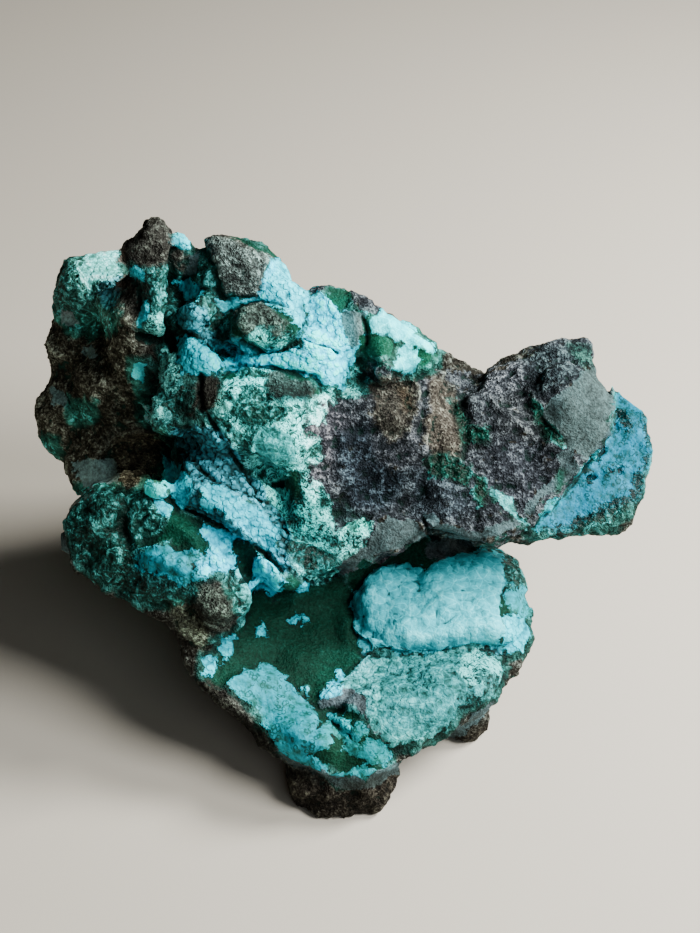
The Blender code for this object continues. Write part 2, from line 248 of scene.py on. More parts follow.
# Patches are laid in this order, each over those before it: mineral, corners in pixels
PATCHES = [
    # the lobe behind, on the left
    ("teal", [(50, 290), (66, 264), (90, 250), (100, 300), (84, 312), (60, 314)]),
    ("cream", [(86, 254), (98, 246), (126, 243), (122, 264), (114, 288), (92, 298), (84, 276)]),
    ("teal", [(66, 308), (92, 304), (112, 312), (110, 328), (92, 334), (72, 328)]),
    ("ash", [(62, 312), (74, 312), (76, 322), (64, 324)]),
    ("ash", [(84, 346), (98, 348), (98, 356), (86, 354)]),
    ("ash", [(54, 394), (65, 396), (64, 408), (54, 406)]),
    ("teal", [(72, 404), (92, 406), (92, 420), (76, 420)]),
    ("teal", [(40, 440), (54, 444), (50, 460), (40, 456)]),
    # the peak and its left rib
    ("ropy", [(97, 287), (118, 279), (124, 296), (118, 310), (104, 306)]),
    ("brown", [(120, 280), (134, 284), (138, 310), (138, 326), (126, 330), (122, 300)]),
    ("brown", [(127, 245), (147, 230), (161, 222), (166, 225), (174, 234), (171, 243), (179, 259), (182, 271),
        (165, 262), (148, 265), (131, 259)]),
    ("teal", [(143, 264), (165, 261), (184, 272), (184, 300), (172, 330), (158, 332), (146, 316),
        (142, 284)]),
    ("brown", [(118, 222), (132, 222), (134, 262), (120, 262)]),
    ("sky", [(131, 266), (138, 267), (142, 279), (136, 281), (131, 273)]),
    ("sky", [(170, 240), (182, 234), (191, 240), (187, 251), (180, 247), (173, 244)]),
    ("sky", [(140, 311), (147, 303), (147, 316), (142, 326), (138, 323)]),
    ("mottle", [(149, 320), (160, 316), (166, 332), (152, 334)]),
    ("pale", [(134, 364), (147, 362), (142, 388), (133, 376)]),
    # the tail
    ("teal", [(165, 335), (174, 337), (179, 357), (182, 377), (189, 384), (187, 401), (179, 416), (170, 431),
        (158, 426), (153, 409), (160, 392), (163, 367)]),
    ("mottle", [(143, 402), (158, 398), (164, 410), (156, 424), (146, 420)]),
    ("mottle", [(164, 344), (174, 346), (180, 372), (172, 392), (164, 380)]),
    # the column
    ("ash", [(185, 259), (197, 257), (198, 276), (186, 274)]),
    ("sky", [(176, 283), (196, 278), (206, 290), (200, 300), (186, 299)]),
    ("teal", [(199, 267), (218, 267), (221, 292), (208, 296), (198, 286)]),
    ("ropy", [(179, 308), (194, 304), (208, 310), (207, 328), (190, 332), (178, 322)]),
    ("teal", [(206, 295), (220, 296), (228, 312), (226, 336), (212, 338), (207, 318)]),
    ("ropy", [(193, 331), (214, 334), (228, 346), (226, 358), (208, 350)]),
    ("sky", [(180, 338), (192, 338), (206, 340), (218, 352), (217, 371), (200, 376), (182, 372)]),
    # the cap, on its green rim
    ("malachite", [(199, 244), (214, 228), (228, 232), (252, 242), (278, 258), (264, 274), (264, 302),
        (250, 299), (226, 302), (215, 292), (214, 266), (205, 256)]),
    ("brown", [(203, 243), (215, 233), (226, 236), (250, 247), (272, 260), (259, 273), (260, 296), (251, 294),
        (234, 294), (228, 297), (221, 291), (219, 278), (218, 266), (210, 253)]),
    ("sky", [(260, 274), (276, 262), (290, 267), (298, 280), (303, 293), (307, 314), (303, 331), (298, 342),
        (294, 340), (296, 322), (290, 314), (278, 306), (261, 299)]),
    ("pale", [(213, 298), (220, 301), (240, 298), (262, 299), (264, 304), (244, 306), (225, 313),
        (219, 308)]),
    # the drum below the cap
    ("malachite", [(226, 313), (241, 307), (263, 302), (277, 307), (295, 320), (300, 332), (294, 344),
        (276, 348), (262, 346), (248, 338), (235, 331), (228, 323)]),
    ("brown", [(235, 321), (241, 313), (263, 306), (273, 314), (285, 322), (276, 329), (256, 328),
        (243, 329)]),
    ("mottle", [(246, 331), (262, 330), (284, 330), (292, 342), (276, 349), (262, 348), (250, 340)]),
    ("teal", [(284, 332), (296, 330), (298, 342), (288, 347)]),
    ("ropy", [(222, 340), (238, 336), (258, 348), (300, 350), (306, 344), (308, 356), (270, 362), (236, 362),
        (222, 354)]),
    # the band
    ("sky", [(220, 361), (250, 354), (270, 352), (306, 350), (308, 296), (322, 295), (336, 309), (342, 313),
        (362, 315), (362, 338), (356, 353), (346, 364), (346, 394), (336, 389), (322, 381), (312, 374),
        (296, 374), (276, 370), (256, 366), (236, 367), (221, 374)]),
    ("ash", [(342, 313), (362, 314), (362, 338), (352, 346), (344, 334)]),
    ("grey", [(303, 281), (319, 281), (325, 291), (316, 297), (304, 290)]),
    ("malachite", [(324, 289), (346, 294), (349, 308), (336, 311), (329, 303)]),
    ("grey", [(346, 293), (362, 298), (377, 308), (378, 317), (361, 309)]),
    ("pale", [(364, 321), (379, 314), (399, 318), (412, 330), (420, 338), (432, 346), (432, 352), (412, 348),
        (394, 344), (388, 338), (372, 337), (366, 331)]),
    ("malachite", [(360, 318), (366, 322), (368, 338), (388, 337), (395, 347), (392, 358), (377, 360),
        (366, 354), (358, 340)]),
    ("grey", [(352, 368), (372, 366), (392, 366), (392, 384), (374, 390), (356, 384)]),
    ("pale", [(394, 352), (408, 348), (420, 360), (416, 369), (400, 373), (392, 368)]),
    ("malachite", [(410, 346), (420, 350), (432, 354), (430, 366), (418, 362)]),
    ("mottle", [(346, 364), (358, 362), (372, 384), (398, 376), (404, 388), (380, 400), (352, 404),
        (342, 396)]),
    # the boulder
    ("mottle", [(218, 374), (226, 367), (241, 366), (262, 370), (286, 376), (318, 380), (332, 396),
        (334, 420), (326, 446), (306, 462), (306, 490), (318, 500), (338, 520), (344, 548), (338, 574),
        (322, 582), (300, 578), (286, 566), (288, 540), (276, 512), (262, 496), (248, 478), (232, 452),
        (210, 428), (204, 408), (214, 392)]),
    ("malachite", [(218, 376), (227, 367), (241, 367), (262, 370), (286, 377), (300, 373), (318, 381),
        (324, 394), (316, 398), (300, 384), (286, 386), (262, 378), (240, 376), (222, 386)]),
    ("teal", [(238, 366), (254, 367), (256, 378), (242, 378)]),
    ("brown", [(265, 374), (276, 374), (286, 382), (299, 380), (314, 382), (316, 394), (303, 396), (293, 398),
        (278, 401), (269, 394)]),
    ("brown", [(198, 379), (218, 378), (222, 392), (214, 410), (200, 408)]),
    ("teal", [(204, 410), (222, 412), (244, 436), (256, 452), (248, 456), (226, 440), (208, 426)]),
    ("cream", [(256, 428), (272, 426), (290, 438), (296, 452), (286, 462), (264, 460), (254, 446)]),
    ("teal", [(226, 398), (250, 388), (266, 396), (272, 412), (252, 420), (232, 414)]),
    ("teal", [(262, 404), (282, 402), (290, 412), (276, 424), (264, 418)]),
    ("grey", [(300, 402), (322, 398), (336, 410), (330, 440), (312, 452), (300, 436)]),
    ("malachite", [(343, 408), (354, 404), (360, 424), (362, 446), (352, 446), (346, 428)]),
    ("malachite", [(267, 481), (280, 479), (294, 472), (298, 478), (303, 492), (301, 501), (289, 494),
        (276, 488)]),
    ("malachite", [(307, 560), (323, 563), (321, 573), (313, 580), (306, 570)]),
    ("teal", [(288, 540), (308, 544), (330, 556), (336, 570), (320, 578), (300, 576), (288, 562)]),
    # the apron
    ("ropy", [(176, 428), (196, 424), (216, 430), (234, 448), (252, 478), (262, 496), (276, 514), (288, 540),
        (286, 566), (270, 560), (250, 545), (232, 532), (204, 516), (186, 506), (196, 484), (182, 462)]),
    ("sky", [(196, 486), (222, 488), (244, 500), (262, 512), (276, 534), (280, 554), (268, 554), (246, 534),
        (226, 514), (204, 504)]),
    ("sky", [(164, 458), (173, 461), (194, 481), (194, 490), (186, 506), (181, 510), (169, 493), (163, 476)]),
    ("sky", [(148, 455), (164, 455), (165, 463), (152, 464)]),
    ("ropy", [(266, 555), (286, 556), (290, 574), (276, 576)]),
    # the side hollow
    ("brown", [(114, 436), (140, 428), (158, 440), (160, 462), (148, 472), (128, 476), (116, 466)]),
    ("ash", [(76, 462), (112, 460), (120, 484), (96, 490), (78, 486)]),
    # the front lobe
    ("teal", [(66, 500), (84, 490), (108, 486), (130, 496), (142, 490), (156, 482), (163, 490), (172, 520),
        (164, 532), (134, 546), (140, 566), (164, 574), (190, 582), (206, 596), (176, 604), (140, 600),
        (112, 588), (90, 570), (72, 548), (66, 524)]),
    ("teal", [(116, 510), (130, 508), (134, 526), (132, 548), (122, 552), (116, 534)]),
    ("malachite", [(168, 504), (186, 514), (200, 522), (198, 534), (208, 546), (211, 554), (202, 559),
        (189, 555), (179, 553), (172, 546), (162, 540), (146, 546), (133, 547), (130, 543), (146, 536),
        (162, 531), (172, 522)]),
    ("sky", [(150, 484), (156, 482), (163, 490), (166, 503), (174, 513), (173, 522), (164, 512), (154, 502)]),
    ("ringed", [(136, 556), (143, 551), (156, 546), (166, 541), (174, 541), (172, 548), (183, 556),
        (194, 554), (208, 558), (206, 580), (189, 582), (178, 584), (163, 573), (146, 568), (138, 563)]),
    ("sky", [(198, 533), (204, 523), (216, 529), (227, 533), (237, 533), (245, 546), (244, 553), (236, 556),
        (234, 569), (221, 571), (206, 580), (192, 576), (190, 564), (209, 556), (207, 546)]),
    ("malachite", [(232, 540), (246, 540), (262, 548), (288, 574), (304, 582), (296, 594), (272, 602),
        (262, 620), (244, 640), (240, 604), (236, 576)]),
    ("sky", [(257, 555), (264, 556), (273, 567), (287, 576), (289, 583), (280, 581), (278, 588), (270, 596),
        (259, 588), (250, 595), (248, 589), (252, 581), (252, 568)]),
    ("sky", [(300, 580), (308, 582), (320, 590), (316, 595), (306, 594), (300, 588)]),
    ("teal", [(221, 578), (232, 571), (244, 574), (247, 590), (245, 612), (240, 632), (234, 622),
        (232, 600)]),
    ("brown", [(198, 588), (212, 586), (224, 598), (234, 614), (233, 625), (224, 628), (212, 622),
        (202, 608)]),
    ("brown", [(168, 608), (182, 604), (194, 620), (206, 634), (202, 646), (190, 640), (176, 624)]),
    # the ledge
    ("malachite", [(322, 578), (342, 574), (352, 600), (360, 627), (366, 654), (358, 680), (330, 700),
        (302, 690), (286, 678), (268, 668), (250, 668), (232, 677), (221, 690), (208, 684), (204, 672),
        (216, 656), (230, 650), (236, 636), (244, 618), (275, 604), (297, 592)]),
    ("malachite", [(300, 688), (330, 690), (350, 706), (376, 738), (392, 750), (380, 772), (340, 772),
        (310, 752), (300, 730), (312, 712)]),
    ("sky", [(254, 630), (262, 622), (266, 634), (258, 638)]),
    ("sky", [(216, 644), (226, 637), (234, 638), (231, 650), (226, 658), (217, 652)]),
    ("sky", [(204, 658), (216, 657), (215, 666), (212, 674), (205, 672)]),
    ("ringed", [(246, 670), (268, 667), (286, 678), (297, 692), (315, 707), (320, 721), (310, 730),
        (328, 732), (335, 739), (324, 745), (310, 750), (322, 761), (342, 770), (368, 772), (378, 771),
        (372, 777), (340, 778), (308, 764), (279, 750), (264, 725), (248, 703), (228, 685)]),
    ("malachite", [(314, 718), (324, 712), (338, 722), (334, 736), (318, 732)]),
    ("ringed", [(318, 728), (332, 722), (340, 736), (330, 746), (318, 741)]),
    ("ringed", [(344, 735), (360, 741), (372, 752), (362, 760), (348, 748)]),
    ("ringed", [(352, 722), (360, 718), (370, 732), (361, 738)]),
    ("sky", [(290, 619), (298, 617), (308, 620), (304, 625), (294, 624)]),
    ("sky", [(335, 674), (341, 674), (341, 679), (336, 679)]),
    ("sky", [(302, 686), (309, 686), (308, 692), (303, 692)]),
    ("ash", [(276, 750), (300, 762), (330, 773), (366, 780), (392, 764), (436, 741), (466, 722), (490, 700),
        (496, 704), (470, 729), (438, 748), (394, 773), (368, 789), (330, 781), (298, 771), (274, 757)]),
    ("sky", [(333, 714), (342, 713), (345, 722), (356, 733), (344, 730), (336, 722)]),
    ("ringed", [(353, 748), (366, 743), (378, 741), (390, 752), (384, 768), (372, 765), (362, 756)]),
    ("cream", [(362, 660), (380, 656), (402, 655), (422, 658), (430, 690), (400, 712), (375, 726), (362, 716),
        (342, 705), (346, 683), (357, 672)]),
    ("ash", [(340, 694), (352, 692), (366, 702), (378, 722), (384, 740), (374, 732), (362, 716), (350, 706),
        (336, 708), (322, 707), (319, 700)]),
    ("sky", [(319, 694), (330, 686), (346, 688), (344, 698), (328, 702)]),
    ("cream", [(380, 658), (402, 655), (422, 658), (440, 651), (453, 645), (474, 641), (489, 647), (503, 660),
        (503, 674), (491, 690), (480, 701), (462, 706), (453, 719), (436, 732), (418, 741), (391, 745),
        (375, 732), (366, 716), (364, 690)]),
    ("mottle", [(478, 646), (492, 650), (502, 664), (500, 676), (488, 688), (470, 688), (452, 676),
        (462, 660)]),
    ("malachite", [(348, 574), (380, 552), (410, 540), (432, 544), (438, 562), (426, 568), (412, 568),
        (398, 563), (386, 568), (366, 582), (352, 600)]),
    ("ash", [(424, 546), (446, 538), (474, 542), (470, 554), (446, 562), (430, 560)]),
    ("pale", [(350, 604), (356, 588), (368, 582), (378, 573), (388, 566), (400, 563), (414, 568), (426, 569),
        (438, 562), (456, 557), (486, 550), (508, 556), (500, 572), (506, 590), (500, 604), (504, 622),
        (500, 634), (503, 656), (489, 645), (474, 640), (453, 643), (440, 650), (422, 656), (402, 653),
        (380, 654), (366, 652), (357, 634), (355, 616)]),
    ("malachite", [(503, 580), (511, 590), (512, 620), (504, 640), (500, 610)]),
    ("sky", [(504, 618), (512, 612), (520, 616), (528, 636), (522, 652), (506, 654), (501, 640)]),
    ("teal", [(502, 544), (518, 550), (530, 588), (520, 592), (508, 590), (504, 576)]),
    ("ringed", [(507, 590), (522, 588), (532, 616), (520, 614), (510, 612)]),
    ("teal", [(478, 678), (491, 677), (492, 692), (480, 696)]),
    ("teal", [(461, 695), (480, 693), (482, 702), (464, 706)]),
    ("brown", [(196, 676), (214, 684), (236, 704), (256, 730), (276, 752), (300, 770), (322, 778), (300, 800),
        (262, 780), (226, 740), (196, 700)]),
    # the slab
    ("grey", [(316, 420), (334, 402), (352, 396), (400, 384), (436, 376), (460, 376), (480, 386), (494, 372),
        (516, 364), (528, 352), (560, 342), (586, 344), (600, 362), (606, 384), (616, 398), (612, 424),
        (604, 446), (588, 462), (576, 482), (556, 500), (532, 524), (500, 536), (470, 536), (436, 524),
        (410, 546), (380, 566), (352, 556), (330, 530), (314, 500), (304, 470), (306, 444)]),
    ("mottle", [(306, 398), (318, 400), (322, 412), (316, 424), (306, 424)]),
    ("mottle", [(304, 438), (313, 440), (318, 454), (311, 464), (303, 458)]),
    ("mottle", [(305, 484), (316, 482), (326, 500), (337, 524), (333, 538), (322, 524), (311, 504)]),
    ("mottle", [(338, 534), (360, 522), (372, 526), (366, 538), (346, 546)]),
    ("brown", [(428, 376), (438, 378), (456, 402), (463, 440), (456, 468), (436, 460), (420, 440),
        (428, 410)]),
    ("ash", [(581, 371), (592, 368), (606, 381), (612, 396), (611, 423), (604, 444), (587, 457), (574, 453),
        (562, 438), (540, 418), (549, 404), (566, 394), (574, 385)]),
    ("ash", [(558, 452), (570, 450), (576, 470), (566, 482), (550, 492), (532, 512), (524, 508), (540, 490),
        (556, 474)]),
    ("mottle", [(596, 364), (602, 366), (600, 374), (612, 384), (614, 396), (606, 384), (598, 374)]),
    ("ash", [(337, 569), (341, 561), (369, 549), (376, 531), (391, 521), (412, 520), (421, 524), (430, 535),
        (416, 539), (394, 546), (373, 558), (351, 571), (341, 575)]),
    ("ash", [(425, 514), (432, 514), (442, 524), (470, 534), (498, 528), (520, 516), (522, 526), (500, 536),
        (471, 540), (440, 532)]),
    ("mottle", [(334, 546), (352, 540), (369, 548), (344, 562)]),
    ("teal", [(530, 398), (538, 402), (544, 420), (566, 438), (562, 446), (546, 434), (532, 416)]),
    ("teal", [(448, 404), (456, 402), (466, 420), (470, 442), (462, 444), (456, 424)]),
    ("teal", [(470, 428), (486, 430), (488, 442), (474, 442)]),
    ("teal", [(474, 476), (482, 476), (488, 500), (480, 506), (474, 494)]),
    ("teal", [(426, 460), (446, 456), (470, 470), (466, 486), (448, 478), (430, 474)]),
    ("cream", [(489, 489), (493, 488), (511, 505), (529, 523), (526, 527), (508, 511), (492, 496)]),
    ("brown", [(368, 386), (382, 378), (412, 374), (414, 408), (404, 436), (388, 440), (376, 420)]),
    # the tongue
    ("teal", [(612, 388), (632, 388), (648, 408), (650, 430), (656, 452), (652, 474), (640, 500), (612, 522),
        (580, 532), (533, 534), (538, 519), (558, 499), (575, 482), (590, 461), (604, 450), (609, 436)]),
    ("ringed", [(614, 392), (630, 393), (641, 410), (642, 430), (648, 450), (644, 466), (635, 472),
        (633, 484), (620, 496), (600, 506), (580, 514), (556, 523), (533, 528), (538, 519), (558, 499),
        (575, 482), (578, 468), (590, 461), (604, 450), (609, 436), (613, 414)]),
    ("teal", [(616, 410), (626, 412), (634, 426), (630, 434), (620, 428)]),
    ("teal", [(586, 474), (592, 471), (597, 475), (594, 482), (588, 482)]),
    ("teal", [(607, 467), (614, 465), (616, 473), (609, 474)]),
    ("teal", [(617, 467), (624, 466), (626, 474), (619, 475)]),
    ("teal", [(590, 459), (600, 457), (601, 465), (593, 464)]),
]

# Each mineral's roughness, and how strong its fine grit and the gaps between its pebbles are
SURFACES = {
    "malachite": (0.70, 0.40, 0.10),
    "teal": (0.42, 0.5, 0.3),
    "mottle": (0.55, 0.7, 0.15),
    "sky": (0.75, 0.35, 0.55),
    "ringed": (0.60, 0.15, 0.12),
    "cream": (0.65, 0.35, 0.30),
    "pale": (0.65, 0.20, 0.15),
    "ropy": (0.65, 0.35, 1.4),
    "grey": (0.80, 1.0, 0.0),
    "ash": (0.75, 0.4, 0.0),
    "brown": (0.85, 1.0, 0.0),
}
BARE = (0.75, 0.9, 0.0)  # the same of rock with no mineral on it
SURFACE_EDGE = 0.3  # mm to each side of a mineral's edge over which these change

# What the rock's colours are multiplied by in parts of the picture, partly the rock's own colour and
# partly painted light and painted shade that even out how these parts are lit: corners in pixels,
# red, green and blue, fade in mm. Each is laid over those before it.
TONES_AND_PAINTED_LIGHT = [
    # the tongue, darkened by painted shade, the crust under the slab, lightened by painted light, and the
    # swelling
    ([(534, 527), (560, 500), (590, 462), (612, 430), (612, 390), (640, 385), (660, 440), (640, 500),
        (560, 535)], (0.15, 0.36, 0.47), 1.0),
    ([(340, 560), (400, 545), (515, 545), (515, 640), (350, 650)], (1.7, 1.15, 1.15), 2.0),
    ([(376, 660), (440, 650), (505, 645), (500, 690), (440, 735), (380, 735)], (0.46, 0.58, 0.62), 2.0),
    # the boulder and what lies under it
    ([(210, 376), (330, 380), (320, 500), (250, 490)], (1.0, 1.25, 1.25), 3.0),
    ([(262, 374), (284, 380), (316, 380), (314, 398), (280, 404), (266, 394)], (0.10, 0.24, 0.25), 0.8),
    ([(262, 500), (300, 480), (344, 540), (340, 580), (286, 570)], (0.16, 0.42, 0.43), 3.0),
    # the upper right and the band
    ([(362, 310), (436, 330), (432, 372), (362, 366)], (1.3, 2.0, 1.9), 2.0),
    ([(200, 352), (306, 342), (310, 290), (350, 300), (360, 350), (340, 390), (220, 380)], (0.8, 1.75, 1.85),
        1.5),
    ([(260, 270), (290, 264), (308, 300), (300, 342), (280, 310)], (1.2, 1.2, 1.2), 1.0),
    # the floor of the ledge
    ([(200, 650), (240, 600), (300, 590), (350, 590), (362, 660), (330, 690), (240, 668)], (0.6, 0.66, 0.66),
        2.0),
    ([(318, 650), (376, 652), (372, 712), (318, 710)], (1.5, 1.3, 1.4), 1.0),
    ([(228, 668), (268, 660), (322, 706), (326, 750), (300, 760)], (0.48, 0.60, 0.62), 1.5),
    ([(326, 712), (350, 706), (392, 750), (370, 780), (320, 764)], (0.85, 0.85, 0.78), 1.0),
    ([(190, 676), (214, 684), (236, 704), (256, 730), (276, 752), (300, 770), (320, 790), (262, 790),
        (190, 710)], (0.25, 0.24, 0.22), 0.8),
    ([(280, 776), (340, 784), (400, 770), (470, 730), (500, 720), (500, 760), (400, 830), (270, 830)],
        (0.62, 0.52, 0.46), 1.0),
    # the lobe behind, lightened by painted light, the side hollow, the peak and the cap
    ([(36, 300), (110, 290), (130, 330), (150, 440), (160, 490), (60, 490), (30, 430)], (4.2, 4.2, 3.8), 3.0),
    ([(48, 262), (90, 246), (130, 240), (122, 290), (86, 314), (48, 314)], (3.2, 2.2, 2.1), 1.0),
    ([(224, 310), (262, 300), (304, 324), (296, 346), (240, 346)], (0.62, 0.95, 0.95), 0.8),
    ([(112, 436), (164, 430), (166, 484), (112, 490)], (2.8, 2.4, 1.8), 1.0),
    ([(120, 215), (184, 215), (184, 262), (120, 268)], (0.62, 0.62, 0.62), 1.0),
    ([(200, 232), (276, 256), (264, 302), (218, 300)], (1.5, 2.0, 2.2), 1.0),
    ([(194, 376), (224, 376), (222, 410), (196, 410)], (0.35, 0.35, 0.32), 0.8),
    # the apron and the front lobe
    ([(176, 424), (240, 440), (262, 500), (230, 500), (190, 470)], (1.4, 1.25, 1.3), 2.0),
    ([(180, 500), (262, 505), (290, 556), (270, 560), (204, 520)], (0.9, 0.85, 0.9), 2.0),
    ([(62, 500), (108, 484), (136, 500), (130, 560), (150, 600), (80, 570)], (0.72, 0.70, 0.66), 1.5),
    ([(150, 334), (190, 334), (196, 384), (186, 430), (146, 430)], (0.75, 0.72, 0.72), 1.0),
    ([(130, 500), (170, 500), (214, 530), (212, 552), (130, 552)], (1.5, 1.6, 1.6), 1.0),
    ([(130, 545), (212, 540), (212, 590), (130, 590)], (0.44, 0.57, 0.60), 1.0),
    ([(192, 520), (250, 526), (250, 580), (200, 580)], (1.4, 1.45, 1.6), 1.0),
    ([(248, 556), (290, 556), (322, 594), (290, 600), (248, 598)], (1.3, 1.35, 1.5), 1.0),
    ([(196, 586), (236, 590), (236, 630), (198, 630)], (0.8, 1.0, 0.95), 1.0),
    ([(164, 604), (182, 600), (208, 634), (202, 650), (176, 630)], (2.4, 2.7, 2.3), 1.0),
    ([(354, 314), (398, 330), (400, 366), (360, 366)], (1.6, 1.6, 1.5), 1.0),
    # the slab, from its left edge to its panel
    ([(312, 400), (338, 392), (352, 420), (334, 470), (318, 500), (306, 480), (304, 430)], (1.9, 1.6, 1.6),
        2.0),
    ([(338, 432), (372, 422), (404, 442), (408, 480), (386, 512), (352, 508), (336, 470)], (0.62, 0.78, 0.88),
        1.6),
    ([(366, 384), (416, 372), (420, 430), (404, 456), (374, 440)], (1.05, 0.98, 0.94), 1.6),
    ([(372, 438), (418, 434), (428, 456), (402, 472), (378, 460)], (1.5, 1.4, 1.4), 1.0),
    ([(398, 386), (407, 386), (411, 408), (402, 410)], (1.5, 1.12, 0.85), 1.2),
    ([(426, 376), (440, 378), (458, 402), (463, 440), (455, 466), (434, 458), (421, 440), (427, 410)],
        (1.22, 1.06, 1.0), 0.5),
    ([(464, 420), (488, 424), (484, 452), (466, 450)], (0.34, 0.34, 0.32), 0.7),
    ([(488, 398), (530, 384), (560, 424), (545, 444), (500, 438)], (1.0, 0.96, 0.92), 1.6),
    ([(480, 372), (516, 362), (524, 380), (500, 396), (482, 392)], (1.6, 1.5, 1.5), 1.2),
    ([(524, 350), (588, 340), (604, 364), (572, 384), (536, 396)], (0.75, 0.95, 0.93), 1.6),
    ([(410, 470), (468, 466), (480, 508), (440, 524), (412, 516)], (0.80, 0.92, 0.98), 1.6),
    ([(484, 440), (548, 440), (556, 480), (520, 510), (486, 490)], (1.0, 0.98, 1.02), 1.6),
    ([(530, 398), (538, 402), (544, 420), (566, 438), (562, 447), (546, 435), (531, 416)], (0.12, 0.34, 0.25),
        0.3),
    ([(448, 404), (458, 402), (468, 420), (472, 442), (462, 446), (456, 424)], (0.14, 0.36, 0.27), 0.4),
    ([(468, 428), (488, 428), (490, 444), (474, 446)], (0.14, 0.34, 0.26), 0.4),
    ([(474, 476), (484, 476), (491, 500), (482, 509), (474, 494)], (0.12, 0.40, 0.29), 0.4),
    ([(420, 457), (446, 451), (472, 468), (468, 488), (446, 480), (428, 474)], (0.20, 0.38, 0.30), 0.6),
    ([(556, 470), (564, 466), (561, 490), (552, 496)], (0.20, 0.60, 0.42), 0.3),
    ([(336, 500), (352, 508), (372, 522), (356, 536), (338, 520)], (0.55, 1.0, 0.9), 0.6),
    ([(564, 343), (588, 343), (602, 368), (590, 372), (572, 358)], (0.35, 0.95, 0.72), 0.6),
    ([(548, 420), (566, 392), (592, 366), (616, 390), (612, 426), (586, 460), (562, 442)], (0.84, 0.84, 0.80),
        0.8),
    ([(337, 572), (376, 528), (412, 518), (432, 536), (372, 560)], (0.85, 0.82, 0.80), 0.8),
]

# Raised crusts and sunk fields: corners in pixels, height in mm, width of the edge in mm
PLATEAUS = [
    ([(350, 598), (369, 573), (404, 560), (500, 552), (503, 578), (502, 604), (503, 656), (474, 640),
        (440, 650), (402, 653), (366, 652), (357, 634)], 0.1, 1.6),
    ([(362, 660), (402, 655), (440, 651), (474, 641), (503, 660), (491, 690), (462, 706), (436, 732),
        (391, 745), (362, 716), (322, 707), (326, 690)], 0.3, 1.0),
    ([(251, 668), (268, 667), (297, 692), (320, 721), (310, 730), (335, 739), (322, 761), (279, 750),
        (248, 703), (228, 685)], 0.15, 0.5),
    ([(203, 243), (215, 233), (250, 247), (272, 260), (259, 273), (260, 296), (228, 297), (219, 278),
        (210, 253)], 0.8, 0.8),
    ([(226, 313), (263, 302), (295, 320), (300, 332), (276, 348), (248, 338), (228, 323)], 0.9, 1.2),
    ([(581, 371), (606, 381), (611, 423), (587, 457), (562, 438), (540, 418), (566, 394)], 0.15, 0.9),
]

# Ridges and grooves: path in pixels, reach to each side in mm, height in mm
STROKES = [
    ([(174, 250), (173, 270), (170, 300), (168, 330), (172, 350)], 1.1, -1.6),
    ([(138, 337), (150, 339), (164, 341)], 1.2, -1.2),
    ([(175, 288), (182, 303)], 1.2, -1.0),
    ([(196, 338), (210, 346), (226, 356)], 0.9, -0.8),
    ([(227, 332), (240, 343), (262, 351), (286, 350), (299, 340), (303, 325)], 0.7, -0.8),
    ([(224, 314), (241, 306), (262, 300), (278, 304), (294, 316)], 0.6, -0.7),
    ([(306, 338), (319, 343), (329, 348), (337, 353)], 0.5, -1.8),
    ([(219, 372), (240, 364), (262, 367), (290, 372), (315, 377), (325, 390)], 0.9, -1.1),
    ([(200, 376), (203, 410), (222, 440), (245, 472), (262, 500)], 1.0, -1.0),
    ([(178, 448), (200, 470), (216, 481), (240, 490), (269, 503)], 0.8, -0.8),
    ([(186, 509), (215, 522), (240, 540), (257, 547), (280, 570), (296, 574), (312, 582)], 0.7, -1.0),
    ([(423, 519), (428, 530), (434, 538)], 0.6, -1.4),
    ([(604, 446), (587, 458), (574, 454), (562, 439), (540, 419), (549, 404)], 0.5, -0.4),
    ([(436, 376), (430, 400), (424, 430), (421, 450)], 1.2, 1.0),
    ([(604, 450), (589, 463), (577, 482), (557, 500), (533, 526)], 0.7, -1.0),
    ([(125, 503), (122, 525), (130, 547)], 1.8, -1.4),
    ([(234, 574), (241, 590), (241, 610), (238, 628)], 1.3, 1.3),
    ([(361, 318), (366, 332), (368, 345)], 0.7, -0.8),
    ([(352, 632), (380, 642), (404, 643), (440, 640), (474, 634), (500, 638)], 3.2, 1.7),
    ([(352, 598), (362, 582), (384, 568)], 1.0, -0.5),
    ([(463, 404), (468, 430), (462, 458)], 1.2, -0.8),
    ([(338, 440), (352, 500), (384, 516), (408, 486)], 2.0, 0.6),
    ([(412, 378), (416, 410), (408, 440)], 1.0, 0.7),
    ([(486, 398), (510, 420), (540, 440)], 1.0, 0.6),
]

# Knobs and pits: pixel across and down, radius in mm, height in mm
KNOBS = [
    (239, 584, 0.7, -1.0), (146, 517, 0.7, -1.2), (591, 478, 1.0, -0.9), (611, 470, 0.6, -0.7),
    (620, 471, 0.9, -0.8), (596, 461, 0.8, -0.7), (280, 277, 0.5, -0.5), (288, 296, 0.8, -0.5),
    (380, 348, 2.6, 1.2), (208, 280, 1.9, 0.9), (193, 318, 2.6, 0.9), (378, 584, 3.0, 1.0),
    (366, 604, 2.4, 1.0), (392, 576, 2.6, 0.8), (366, 628, 2.2, 0.7), (380, 646, 2.4, 0.8),
    (404, 600, 3.4, 0.7), (440, 590, 4.0, 0.6), (400, 630, 3.0, 0.6), (150, 560, 2.0, 0.8),
    (166, 562, 1.8, 0.8), (182, 566, 1.8, 0.8), (202, 574, 2.0, 0.8), (100, 500, 3.0, 1.0),
    (292, 564, 2.4, 1.0), (156, 492, 2.0, 0.8), (276, 562, 1.6, 0.7), (470, 364, 1.0, 0.6),
]

